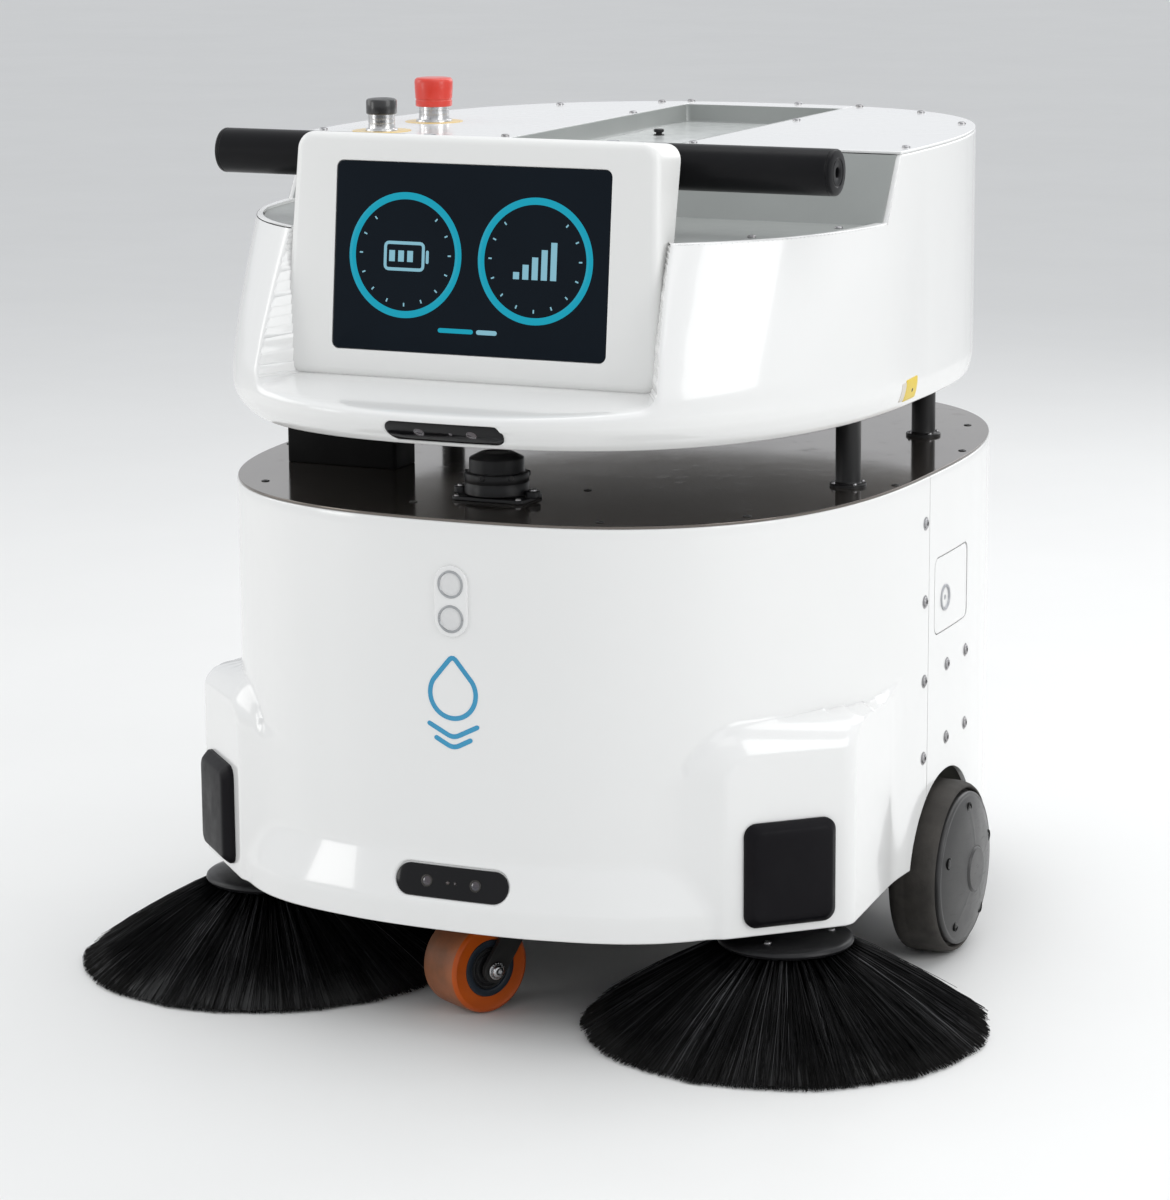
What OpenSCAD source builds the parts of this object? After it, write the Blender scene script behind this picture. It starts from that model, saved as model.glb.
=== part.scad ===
// Commercial robotic floor cleaner: wheeled sweeping base, deck, raised head with
// screen and push bar. Millimetres, +Z up, front towards -Y, origin on the floor
// below the middle of the whole machine. Parts named left lie at -X, right at +X.

/* [Lower body] */
// Half of the body's width across its side panels
body_half = 354; // [350:1:358]
// Reach of the front face forward of the plan centre
body_front = 427; // [424:1:430]
// Reach of the rear face behind the plan centre
body_rear = 490; // [486:1:494]
// Squareness of the body's plan outline (2 is an ellipse)
body_power = 2.65; // [2.6:0.01:2.7]
// Wall thickness of the moulded shells
wall = 4; // [3.5:0.1:4.5]
// Height of the skirt's lower lip above the floor
lip_z = 108; // [106:1:109]
// How far the skirt's lip stands in front of the face
flare = 12; // [8:1:14]

/* [Deck and head] */
// Top of the deck plate above the floor
deck_z = 530; // [526:1:534]
// Underside of the head above the floor
head_z = 605; // [603:1:608]
// Radius of the posts between deck and head
post_r = 13; // [11:0.5:14]

/* [Screen and handle] */
// Width of the display glass
glass_w = 299; // [290:1:304]
// Height of the display glass
glass_h = 186; // [180:1:190]
// Lean of the screen back from vertical, in degrees
screen_tilt = 6; // [5:0.5:7]
// Radius of the hand grips
grip_r = 23; // [20:0.5:24]
// Half of the handlebar's length
bar_half = 340; // [330:1:345]

/* [Wheels and brushes] */
// Radius of the drive wheels' tyres
wheel_r = 93; // [91:0.5:94]
// Radius of the front caster wheel
caster_r = 48; // [44:1:48]
// Distance of each side brush from the centre line
brush_x = 296; // [294:1:298]
// Radius of a side brush at its bristle tips
brush_r = 199; // [190:1:199]

/* [Hidden] */
$fn = 64;
plan_y = 96;             // plan centre of body and head
seam_y = 90;             // joint between front and rear shells
seam_gap = 0.5;          // each shell's distance from the joint
shell_top = deck_z - 3;  // the deck plate lies on the shells
chassis_z = 112;         // underside of the chassis plate
chassis_top = chassis_z + 6;
running_gap = 0.05;      // radial clearance of turning parts
side_far = 500;          // cutters reach this far sideways and forwards
back_far = 700;          // and this far backwards

// Places as [x, y]
brush_at = [brush_x, -165];
estop_at = [-265, 185];
push_button_at = [-265, 60];
caster_at = [0, -200];
rear_caster_at = [190, 455];
door_pin_at = [348.7, 215.4];

wheel_y = 150;
axle_r = 10;
caster_pin_r = 8;
roll_y = 300;
roll_z = 63;
roll_slot = 82;          // half of the roller opening, front to rear
camera_z = 157;          // front camera slot
sensor_z = 448;          // oval sensor plate
eye_zs = [430, 465];     // the two ultrasonic sensors
lens_x = 27;
lens_z = 156;

rim_z = 800;             // rim of the head's front shell
top_z = 868;             // top surface of the head
panel_z = top_z - 3;     // underside of the top panels
pan_z = rim_z - 3;       // floor of the handle recess
head_rear = 449;
head_power = 2.5;        // squareness of the head's plan
// Head outline rows: height, half width, front reach
head_rows = [
  [head_z, 340, 444], [618, 348, 461], [636, 352, 470], [662, 353, 467],
  [735, 351, 434], [rim_z, 347, 397], [top_z, 343, 352]
];
rim_row = head_rows[5];
top_row = head_rows[6];
head_front = max([for (row = head_rows) row[2]]);
// moves the plan frame so that the origin is below the middle of the whole machine
y_off = -((plan_y + body_rear) + (plan_y - head_front)) / 2;

// Colours used by several nodes
shell_white = [0.93, 0.93, 0.92];
fitting_black = [0.05, 0.05, 0.05];
pad_black = [0.03, 0.03, 0.03];
camera_black = [0.03, 0.03, 0.035];
fork_black = [0.06, 0.06, 0.06];
metal_grey = [0.6, 0.6, 0.6];
screw_grey = [0.6, 0.6, 0.62];
box_grey = [0.5, 0.52, 0.54];

// ---- helper shapes -------------------------------------------------------

function signed_pow(v, e) = (v < 0 ? -1 : 1) * pow(abs(v), e);

// Superellipse outline with separate front and rear reaches
function plan(half, front, rear, power, count = 72) = [for (i = [0:count - 1])
  let (t = 360 * i / count, reach = sin(t) < 0 ? front : rear)
  [half * signed_pow(cos(t), 2 / power), plan_y + reach * signed_pow(sin(t), 2 / power)]];

// Half widths at bottom and top, half height, corner radius; from the lower right corner
function round_trapezium(bottom, top, half_h, r, steps = 8) = [for (q = [0:3], i = [0:steps])
  let (low = q == 0 || q == 3, angle = 90 * (q - 1 + i / steps))
  [(q < 2 ? 1 : -1) * ((low ? bottom : top) - r), (low ? -1 : 1) * (half_h - r)]
    + r * [cos(angle), sin(angle)]];
function round_rect(half_w, half_h, r) = round_trapezium(half_w, half_w, half_h, r);

module slab(z0, z1) translate([0, 0, z0]) linear_extrude(z1 - z0) children();
module box(x0, x1, y0, y1, z0, z1) translate([x0, y0, z0]) cube([x1 - x0, y1 - y0, z1 - z0]);
module xcyl(x0, x1, y, z, r) translate([x0, y, z]) rotate([0, 90, 0]) cylinder(h = x1 - x0, r = r);
module zcyl(at, z0, z1, r) translate([at[0], at[1], z0]) cylinder(h = z1 - z0, r = r);
// Cylinder and extrusion running forwards from a point
module ycyl(from, length, r) translate(from) rotate([90, 0, 0]) cylinder(h = length, r = r);
module forward(from, depth) translate(from) rotate([90, 0, 0]) linear_extrude(depth) children();
// Extrudes a [y, z] profile sideways
module along_x(x0, x1) translate([x0, 0, 0]) rotate([90, 0, 90]) linear_extrude(x1 - x0) children();

module both() {
  children();
  mirror([1, 0, 0]) children();
}

module stadium(w, h) {
  square([w - h, h], center = true);
  for (side = [-1, 1]) translate([side * (w - h) / 2, 0]) circle(d = h);
}

module screw(at, seat_z, depth, head_h) {
  zcyl(at, seat_z - depth, seat_z, 2.5);
  zcyl(at, seat_z, seat_z + head_h, 4.5);
}

// ---- body ----------------------------------------------------------------

module body2d(inset)
  polygon(plan(body_half - inset, body_front - inset, body_rear - inset, body_power));
module body_block() slab(lip_z, shell_top) body2d(0);
module body_cavity() slab(lip_z - 20, shell_top + 1) body2d(wall);
module body_wall() difference() {
  body_block();
  body_cavity();
}

// Corner pod that carries a bumper pad; an inset shrinks it to make the inner cavity
module pod(d) hull() {
  slab(lip_z - d, 282 - d / 2) polygon([[214, -288], [270 - d * 0.4, -262.7 + d],
    [367.8 - d, -164.9 + d * 0.4], [354 - d, -30], [180, -110]]);
  slab(300 - d - 0.5, 300 - d) polygon([[226, -276], [272, -246 + d],
    [352 - d, -166], [350 - d, -50], [180, -110]]);
  slab(320 - d - 0.5, 320 - d) polygon([[236, -250], [262, -232],
    [325 - d, -110], [330 - d, -80], [180, -110]]);
}

module skirt(inset) {
  rear = body_rear - 40;
  front = body_front - inset;
  hull() {
    slab(lip_z - inset, 140) polygon(plan(body_half + 2 - inset, front + flare, rear, body_power));
    slab(185 - inset, 186 - inset) polygon(plan(body_half - inset, front, rear, body_power));
  }
}

module arches() both() xcyl(296, 420, wheel_y, 90, 107);

module chassis_plate() {
  boss_r = 18;
  boss_z = 104;
  cut_z0 = 100;
  cut_z1 = 130;
  color([0.2, 0.21, 0.22]) difference() {
    union() {
      slab(chassis_z, chassis_top) body2d(wall);
      zcyl(caster_at, boss_z, chassis_z + 1, boss_r);
      both() zcyl(rear_caster_at, boss_z, chassis_z + 1, boss_r);
    }
    both() box(316, 420, wheel_y - 110, wheel_y + 110, cut_z0, cut_z1);
    box(-230, 230, roll_y - roll_slot, roll_y + roll_slot, cut_z0, cut_z1);
    both() zcyl(brush_at, cut_z0, cut_z1, 22);
    zcyl(caster_at, cut_z0, cut_z1, caster_pin_r + running_gap);
    both() zcyl(rear_caster_at, cut_z0, cut_z1, caster_pin_r + running_gap);
  }
}

module frame_tubes() {
  tube = 25;
  inner_x = 232;
  front_y = -72;
  rear_y = 388;
  beam_z = shell_top - tube;
  color([0.16, 0.16, 0.17]) {
    both() {
      for (y = [front_y, rear_y])
        box(inner_x, inner_x + tube, y, y + tube, chassis_top, shell_top);
      box(inner_x, inner_x + tube, front_y + tube, rear_y, beam_z, shell_top);
    }
    for (y = [front_y, rear_y]) box(-inner_x, inner_x, y, y + tube, beam_z, shell_top);
  }
}

module front_shell() color(shell_white) difference() {
  union() {
    body_block();
    skirt(0);
    both() pod(0);
  }
  body_cavity();
  skirt(wall);
  both() pod(wall);
  box(-side_far, side_far, seam_y - seam_gap, back_far, 0, 900);
  arches();
  // front camera slot and its pocket
  forward([0, -300, camera_z], 60) stadium(128, 45);
  // seat of the oval sensor plate
  forward([0, -300, sensor_z], 60) rotate(90) stadium(74, 38);
}

// Side door and rear hopper, with the gaps their openings leave round them
door_front = 108;
door_z0 = 354;
door_z1 = 435;
door_gap = 1;
door_pin_r = 1;
pin_overhang = 8;        // pin beyond the door, above and below
hopper_half = 198;
hopper_z0 = 124;
hopper_z1 = 320;
hopper_gap = 2;

module door_pin_shape() zcyl(door_pin_at, door_z0 - pin_overhang, door_z1 + pin_overhang, door_pin_r);

module rear_shell() color(shell_white) difference() {
  body_block();
  body_cavity();
  box(-side_far, side_far, -side_far, seam_y + seam_gap, 0, 900);
  arches();
  // service door opening and the holes that hold its pin
  box(300, 400, door_front - door_gap, 219, door_z0 - door_gap, door_z1 + door_gap);
  door_pin_shape();
  // dust hopper opening
  box(-hopper_half - hopper_gap, hopper_half + hopper_gap, 400, back_far,
    hopper_z0 - hopper_gap, hopper_z1 + hopper_gap);
}

module deck_plate() color([0.08, 0.075, 0.07]) difference() {
  slab(shell_top, deck_z) body2d(1.5);
  // hole below the cable duct
  zcyl([-229, -78], shell_top - 5, deck_z + 5, 16);
}

module bumper_pads() color(pad_black) both()
  translate([318.9, -213.84, 177]) rotate([0, 0, 45]) rotate([90, 0, 0]) difference() {
    union() {
      linear_extrude(7) polygon(round_rect(48.5, 51.5, 9));
      translate([0, 0, 6]) linear_extrude(6) polygon(round_rect(45, 48, 7));
    }
    for (side = [-1, 1]) translate([side * 40, 0, 11]) cylinder(h = 2, r = 2);
  }

module sensor_bezel() color([0.9, 0.9, 0.9]) difference() {
  forward([0, -320, sensor_z], 14) rotate(90) stadium(72, 36);
  for (z = eye_zs) ycyl([0, -330, z], 5, 14);
}

module ultrasonic_sensors() color([0.75, 0.76, 0.77])
  for (z = eye_zs) translate([0, -330, z]) rotate([90, 0, 0]) {
    difference() {
      cylinder(h = 5, r = 13.9);
      translate([0, 0, 3]) cylinder(h = 3, r = 11.2);
    }
    translate([0, 0, 2.5]) cylinder(h = 2, r = 10.4);
  }

module front_camera_bezel() color(camera_black) difference() {
  forward([0, -310, camera_z], 28) stadium(127, 44);
  forward([0, -332, camera_z], 9) stadium(116, 33);
  for (side = [-1, 1]) ycyl([side * lens_x, -320, lens_z], 15, 8);
}

module camera_lenses() color([0.1, 0.1, 0.12])
  for (side = [-1, 1]) ycyl([side * lens_x, -320, lens_z], 14, 7.9);

// ---- between deck and head -----------------------------------------------

lidar_y = -210;
lidar_z = deck_z + 6;    // top of the bracket's plate

module lidar_bracket() color(fitting_black) difference() {
  union() {
    box(-46, 46, lidar_y - 28, lidar_y + 28, deck_z, lidar_z);
    both() box(36, 44, lidar_y - 22, lidar_y + 22, lidar_z, deck_z + 24);
  }
  for (side = [-1, 1]) zcyl([side * 40, lidar_y - 25], deck_z - 1, deck_z + 30, 2.2);
}

module lidar_scanner() color([0.04, 0.04, 0.045]) {
  // stacked drums: lower height, upper height, radius
  for (drum = [[6, 28, 32.5], [28, 42, 28], [42, 47.5, 22]])
    zcyl([0, lidar_y], deck_z + drum[0], deck_z + drum[1], drum[2]);
}

module head_posts() color(fitting_black)
  for (at = [[300, -8], [-300, -8], [265, 316], [-290, 272]]) {
    zcyl(at, deck_z, deck_z + 4, 19);
    zcyl(at, deck_z + 4, head_z + 1, post_r);
  }

module cable_duct() color([0.06, 0.06, 0.06]) difference() {
  box(-300, -172, -102, -54, deck_z, head_z + 1);
  box(-296, -176, -98, -58, deck_z - 1, head_z + 2);
}

// ---- head ----------------------------------------------------------------

recess_foot_y = -12;     // foot and top of the handle recess's rear wall
recess_top_y = 28;
tray_x = 97.8;           // half width of the top tray
panel_x = 98;            // inner edge of each top panel
button_hole_r = 14.5;
housing_half_h = 121;
chin_x = 17.5;
chin_z = 620;

module head2d(row, inset = 0)
  polygon(plan(row[1] - inset, row[2] - inset, head_rear - inset, head_power, 64));

// Head up to a height; an inset one runs on past the head's underside and top
module head_solid(inset, max_z) {
  extra = inset > 0 ? 5 : 0;
  hull() for (row = head_rows) if (row[0] <= max_z)
    slab(row[0] == head_z ? head_z - extra : row[0] - 0.2, row[0] + (row[0] == top_z ? extra : 0))
      head2d(row, inset);
}

// Screen frame: front plane at y = 0, up is +z
module screen_frame() translate([0, -266, 776]) rotate([-screen_tilt, 0, 0]) children();

// Pocket in the head for the screen housing
module screen_pocket(grow) {
  // corners on one side, in the screen frame
  corners = [
    [209 + grow, 12 + grow, -housing_half_h - grow], [203 + grow, 60 + grow, 124],
    [238 + grow, -150, -137 - grow], [230 + grow, -150, 124]
  ];
  hull() screen_frame() for (side = [-1, 1], corner = corners)
    translate([side * corner[0], corner[1], corner[2]]) cube(0.2, center = true);
}

// Handle recess: everything above the rim and ahead of the sloping rear wall
module recess() along_x(-side_far, side_far) polygon([[-500, rim_z], [recess_foot_y, rim_z],
  [recess_top_y, top_z], [recess_top_y, 960], [-500, 960]]);

module head_base_plate() color([0.12, 0.12, 0.12])
  slab(head_z + 1, head_z + 4) head2d(head_rows[0], wall + 0.5);

module head_shell() color(shell_white) difference() {
  head_solid(0, top_z);
  difference() {
    head_solid(wall, top_z);
    screen_pocket(wall);
  }
  screen_pocket(0);
  recess();
  box(-side_far, side_far, -side_far, back_far, panel_z, 960);
  // window below the chin
  forward([chin_x, -310, chin_z], 200) stadium(126, 22);
}

module chin_camera() color(camera_black) intersection() {
  forward([chin_x, -348, chin_z], 96) stadium(125, 21);
  head_solid(1.5, 700);
}

module top2d() intersection() {
  head2d(top_row);
  translate([-side_far, recess_top_y]) square([2 * side_far, 700]);
}

// Part of the top surface between two x values, from y0 back
module top_part(x0, x1, y0, depth) slab(panel_z, top_z) intersection() {
  top2d();
  translate([x0, y0]) square([x1 - x0, depth]);
}

module top_panel_left() color(shell_white) difference() {
  top_part(-side_far, -panel_x, 0, 700);
  for (at = [estop_at, push_button_at]) zcyl(at, top_z - 5, top_z + 2, button_hole_r);
}
module top_panel_right() color(shell_white) top_part(panel_x, side_far, 0, 700);

module top_tray() {
  tray_wall = 2;
  inner_x = tray_x - tray_wall;
  tray_y0 = 30;
  tray_y1 = 500;
  tray_z = top_z - 22;
  color([0.8, 0.81, 0.82]) {
    difference() {
      box(-tray_x, tray_x, tray_y0, tray_y1, tray_z, top_z);
      box(-inner_x, inner_x, tray_y0 + tray_wall, tray_y1 - tray_wall,
        tray_z + tray_wall, top_z + 1);
    }
    top_part(-tray_x, tray_x, tray_y1, 200);
  }
}

module handle_recess_pan() {
  inset = wall + 1;
  under_z = pan_z - 2;
  color([0.6, 0.62, 0.65]) {
    difference() {
      slab(under_z, pan_z)
        polygon(plan(rim_row[1] - inset, rim_row[2] - inset, head_rear, head_power, 64));
      box(-side_far, side_far, recess_foot_y, back_far, 700, 900);
      screen_pocket(wall + 0.5);
    }
    // sloping rear wall
    along_x(-336, 336) polygon([[-14, under_z], [recess_foot_y, under_z],
      [28.5, top_z - 3.5], [26.3, top_z - 3.5], [-14.4, pan_z]]);
  }
}

// ---- screen and handle ---------------------------------------------------

module screen_housing() {
  seat_gap = 0.3;
  color([0.94, 0.94, 0.93]) screen_frame() difference() {
    forward([0, 60, 0], 60) polygon(round_trapezium(206, 198, housing_half_h, 18));
    // wedge: deep at the top, shallow at the bottom
    translate([-300, 10, -housing_half_h]) rotate([-11.2, 0, 0]) cube([600, 200, 400]);
    // seat of the glass and of the display module
    forward([0, 2, 0], 5) polygon(round_rect(glass_w / 2 + seat_gap, glass_h / 2 + seat_gap, 8));
    box(-140, 140, 1.9, 8.1, -80, 80);
  }
}
module display_glass() color([0.02, 0.05, 0.1]) screen_frame()
  forward([0, 2, 0], 2) polygon(round_rect(glass_w / 2, glass_h / 2, 8));
module display_module() color([0.3, 0.3, 0.3]) screen_frame() box(-138, 138, 2, 8, -78, 78);

bar_y = -148;
bar_z = 863;
bar_r = 14;
bracket_r = 24;
grip_end_x = bar_half - 3;    // start of each grip's smaller end step

module bar_cyl(x0, x1, r) xcyl(x0, x1, bar_y, bar_z, r);

module handlebar() color([0.1, 0.1, 0.1]) difference() {
  bar_cyl(-bar_half + 4, bar_half - 4, bar_r);
  bar_cyl(-bar_half, bar_half, 11.5);
}

module handle_brackets() color(box_grey) both() difference() {
  union() {
    box(96, 108, bar_y - 36, bar_y + 36, pan_z, rim_z + 3);
    box(98, 106, bar_y - bracket_r, bar_y + bracket_r, rim_z + 3, bar_z);
    bar_cyl(98, 106, bracket_r);
  }
  bar_cyl(90, 110, bar_r);
}

module handle_grips() color(pad_black) both() difference() {
  union() {
    bar_cyl(130, grip_end_x, grip_r);
    bar_cyl(grip_end_x, bar_half, grip_r - 3);
  }
  bar_cyl(120, bar_half - 4, bar_r);
  bar_cyl(bar_half - 10, bar_half + 5, 5);
}

// ---- buttons and screws --------------------------------------------------

legend_top = top_z + 0.8;
estop_stem_r = 8;
push_stem_r = 7;

module button_body(at, neck_r, collar_r, collar_h, stem_r) difference() {
  union() {
    zcyl(at, 828, legend_top, neck_r);
    zcyl(at, legend_top, top_z + collar_h, collar_r);
  }
  zcyl(at, 832, top_z + 20, stem_r + running_gap);
}
module button_bodies() color(metal_grey) {
  button_body(estop_at, 14, 15.5, 14, estop_stem_r);
  button_body(push_button_at, 13, 13.5, 14.5, push_stem_r);
}

module button_legends() color([0.9, 0.8, 0.5])
  for (at = [estop_at, push_button_at]) difference() {
    zcyl(at, top_z, legend_top, 30);
    zcyl(at, top_z - 1, top_z + 2, button_hole_r);
  }

module estop_cap() color([0.85, 0.12, 0.08]) {
  zcyl(estop_at, 842, top_z + 20, estop_stem_r);
  zcyl(estop_at, top_z + 18.5, top_z + 44.5, 20);
  zcyl(estop_at, top_z + 44.5, top_z + 46.5, 18);
}
module push_button_cap() color([0.05, 0.05, 0.05]) {
  zcyl(push_button_at, 842, top_z + 20, push_stem_r);
  zcyl(push_button_at, top_z + 19, top_z + 33, 16);
}

// Screw places in the top panels, left row then right row
panel_screws = [
  [-328, 50], [-298, 250], [-225, 440], [-110, 45], [-106, 363], [-134, 510], [-108, 525],
  [328, 72], [291, 356], [200, 470], [108, 45], [106, 336], [108, 525]
];
pan_screws = [[252, -152], [303, -48], [-252, -152], [-303, -48]];

module head_screws() color(screw_grey) {
  for (at = panel_screws) screw(at, top_z, 8, 2.2);
  for (at = pan_screws) screw(at, pan_z, 6, 2);
}

// Half width of the body at a given y
function body_side_x(y) = body_half * pow(
  1 - pow(abs(y - plan_y) / (y < plan_y ? body_front : body_rear), body_power), 1 / body_power);

module side_screw(y, z) {
  face_x = body_side_x(y);
  xcyl(face_x - 6, face_x - 0.5, y, z, 2.5);
  xcyl(face_x - 0.6, face_x + 2.4, y, z, 5.5);
}

module body_screws() {
  inset = 18;
  deck_ring = plan(body_half - inset, body_front - inset, body_rear - inset, body_power, 24);
  color(screw_grey) {
    both() {
      for (z = [479, 396, 311, 228]) side_screw(78, z);
      for (p = [[150, 315], [218, 316], [150, 235], [218, 235]]) side_screw(p[0], p[1]);
    }
    for (i = [1:2:23]) screw(deck_ring[i], deck_z, 6, 2);
  }
}

// ---- inside, hopper and door ---------------------------------------------

module battery() color([0.15, 0.2, 0.35]) {
  box(-150, 150, -120, 60, chassis_top, 290);
  both() box(90, 110, -90, 30, 290, 300);
}

module controller_box() color(box_grey) {
  box(-130, 130, 90, 205, chassis_top, 210);
  // fins
  for (x = [-110:20:110]) box(x - 3, x + 3, 95, 200, 210, 222);
}

module vacuum_fan() {
  fan_at = [0, 296];
  color([0.2, 0.2, 0.22]) difference() {
    union() {
      zcyl(fan_at, 150, 226, 62);
      box(-45, 45, fan_at[1] - 20, fan_at[1] + 20, 142, 150);
    }
    zcyl(fan_at, 180, 230, 30);
  }
}

// A box at the rear, trimmed to lie inside the shell
module trimmed_box(half_w, y0, z0, z1) intersection() {
  slab(lip_z, shell_top) body2d(wall - 0.1);
  box(-half_w, half_w, y0, back_far, z0, z1);
}

module dust_hopper() {
  // hand slot: half width and heights, and the wall round its pocket
  slot_half = 70;
  slot_z0 = 270;
  slot_z1 = 300;
  slot_wall = 8;
  color([0.9, 0.9, 0.89]) {
    // face flush with the body
    intersection() {
      body_wall();
      difference() {
        box(-hopper_half, hopper_half, 402, back_far, hopper_z0, hopper_z1);
        box(-slot_half, slot_half, 402, back_far, slot_z0, slot_z1);
      }
    }
    // open-topped bin with a mouth in front
    difference() {
      trimmed_box(166, 392, hopper_z0, 318);
      box(-162, 162, 396, 522, 128, 330);
      box(-140, 140, 380, 400, 150, 230);
    }
    // pocket behind the slot
    difference() {
      trimmed_box(slot_half + slot_wall, 530, slot_z0 - slot_wall, slot_z1 + slot_wall);
      box(-slot_half, slot_half, 534, back_far, slot_z0, slot_z1);
    }
  }
}

pull_y = 141;
pull_z = 389;

module service_door() color(shell_white) difference() {
  union() {
    intersection() {
      body_wall();
      box(300, 400, door_front, door_pin_at[1], door_z0, door_z1);
    }
    zcyl(door_pin_at, door_z0, door_z1, 2.2);
  }
  zcyl(door_pin_at, 340, 450, door_pin_r + running_gap);
  xcyl(340, 360, pull_y, pull_z, 12);
}

module door_pull() color([0.45, 0.46, 0.48]) difference() {
  union() {
    xcyl(348, 354.2, pull_y, pull_z, 11.95);
    xcyl(353.97, 355, pull_y, pull_z, 14);
  }
  xcyl(351.5, 360, pull_y, pull_z, 9.5);
}
module door_pin() color(metal_grey) door_pin_shape();

// ---- side brushes and roller ---------------------------------------------

brush_shaft_r = 6;

module side_brush_motors() color([0.25, 0.25, 0.27]) both() difference() {
  union() {
    zcyl(brush_at, chassis_top, chassis_top + 8, 38);
    zcyl(brush_at, chassis_top + 8, 210, 30);
    zcyl(brush_at, 108, chassis_top, 21.5);
  }
  zcyl(brush_at, 100, 190, brush_shaft_r + running_gap);
}

// side is -1 for left, 1 for right; profiles are [radius, height]
module at_brush(side) translate([side * brush_at[0], brush_at[1], 0]) children();
module brush_hub(side) color([0.1, 0.1, 0.11]) at_brush(side) {
  zcyl([0, 0], 90, 185, brush_shaft_r);
  rotate_extrude() polygon([[0, 84], [54, 84], [68, 90], [69, 94], [62, 99],
    [30, 101], [20, 106], [0, 106]]);
}
module bristles(side) color([0.05, 0.05, 0.05]) at_brush(side) rotate_extrude(convexity = 6)
  polygon([[40, 83.5], [54, 83.5], [67.5, 89.4], [110, 70], [158, 38], [brush_r, 4],
    [brush_r - 2, 1], [140, 1], [90, 40]]);

roll_core_r = 24;
roll_shaft_r = 8;
roll_end_x = 226;        // outer ends of the roller housing

module roll_cyl(x0, x1, r) xcyl(x0, x1, roll_y, roll_z, r);

module roller_housing() color([0.2, 0.2, 0.21]) difference() {
  union() {
    intersection() {
      roll_cyl(-roll_end_x, roll_end_x, 77);
      box(-300, 300, 100, 500, roll_z - 14, 300);
    }
    // flanges in front of and behind the drum
    for (y = [roll_y - roll_slot, roll_y + 50])
      box(-roll_end_x, roll_end_x, y, y + 32, chassis_z, chassis_top);
    roll_cyl(-282, -roll_end_x, 30);
  }
  roll_cyl(-220, 220, 72);
  roll_cyl(-240, 230, roll_shaft_r + running_gap);
  // discharge mouth towards the hopper
  box(-200, 200, roll_y + 40, roll_y + 120, chassis_top, 200);
}

module roller_core() color(metal_grey) {
  roll_cyl(-216, 216, roll_core_r);
  roll_cyl(-236, 226, roll_shaft_r);
}
module roller_bristles() color([0.1, 0.1, 0.1]) difference() {
  roll_cyl(-212, 212, 62);
  roll_cyl(-230, 230, roll_core_r);
}

// ---- drive wheels --------------------------------------------------------

module wheel_axles() color([0.3, 0.3, 0.32]) both() {
  box(276, 308, wheel_y - 32, wheel_y + 32, 70, chassis_z);
  xcyl(304, 358, wheel_y, wheel_r, axle_r);
}

// Turns a profile of [radius, distance from the centre line] about the right axle
module wheel_turned(profile) translate([0, wheel_y, wheel_r]) rotate([0, 90, 0])
  rotate_extrude(convexity = 6) polygon(profile);

module tyre() color([0.12, 0.11, 0.11]) wheel_turned([
  [72, 324], [86, 322], [90.5, 324], [wheel_r - 0.5, 329], [wheel_r, 334], [wheel_r, 360],
  [wheel_r - 0.5, 365], [90.5, 370], [86, 372], [84.5, 371.5], [84.5, 368], [72, 368]
]);

module wheel_hub() color([0.17, 0.17, 0.18]) difference() {
  wheel_turned([
    [0, 322], [24, 322], [26, 330], [72, 330], [72, 368.5], [83.5, 368.5],
    [84, 373], [80, 377.5], [60, 381.5], [24, 384], [22, 386], [0, 386]
  ]);
  xcyl(300, 362, wheel_y, wheel_r, axle_r + running_gap);
  // ring of five holes in the outer face
  for (t = [18:72:360]) xcyl(379, 390, wheel_y + 66 * cos(t), wheel_r + 66 * sin(t), 3);
}

// ---- casters -------------------------------------------------------------

// Each caster is drawn with its pin on the z axis, trailing towards +x
caster_turn = -28;       // rest heading of the front caster
caster_w = 56;
caster_trail = 40;
caster_core_r = 30;
rear_caster_r = 44;
rear_caster_w = 28;
rear_caster_trail = 28;
caster_axle_r = 6;
fork_top = 103;
fork_plate_z = fork_top - 5;

// Fork for a wheel of radius r
module fork(r, width, trail) {
  arm_y = width / 2 + 5.5;
  zcyl([0, 0], fork_top - 8, 117.5, caster_pin_r);
  zcyl([0, 0], fork_plate_z, fork_top, 26);
  box(-14, trail + 12, -width / 2 - 8, width / 2 + 8, fork_plate_z, fork_top);
  for (side = [-1, 1]) hull() {
    translate([0, side * arm_y, 0]) box(-12, 16, -2.5, 2.5, fork_plate_z, fork_top - 0.5);
    ycyl([trail, side * arm_y + 2.5, r], 5, 13);
  }
  ycyl([trail, width / 2 + 10, r], width + 20, caster_axle_r);
}

module caster_wheel(r, width, trail, bore_r)
  translate([trail, width / 2, r]) rotate([90, 0, 0]) difference() {
    rotate_extrude() polygon([[0, 0], [r - 5, 0], [r - 1.5, 2], [r, 6],
      [r, width - 6], [r - 1.5, width - 2], [r - 5, width], [0, width]]);
    translate([0, 0, -1]) cylinder(h = width + 2, r = bore_r);
  }

module front_caster() translate([caster_at[0], caster_at[1], 0])
  rotate([0, 0, -90 + caster_turn]) children();
module caster_fork() color(fork_black) front_caster() fork(caster_r, caster_w, caster_trail);
module caster_tyre() color([0.8, 0.32, 0.06]) front_caster()
  caster_wheel(caster_r, caster_w, caster_trail, caster_core_r);
module caster_core() color([0.3, 0.33, 0.37]) front_caster() difference() {
  ycyl([caster_trail, 27, caster_r], 54, caster_core_r);
  ycyl([caster_trail, 40, caster_r], 80, caster_axle_r + running_gap);
}

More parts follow.
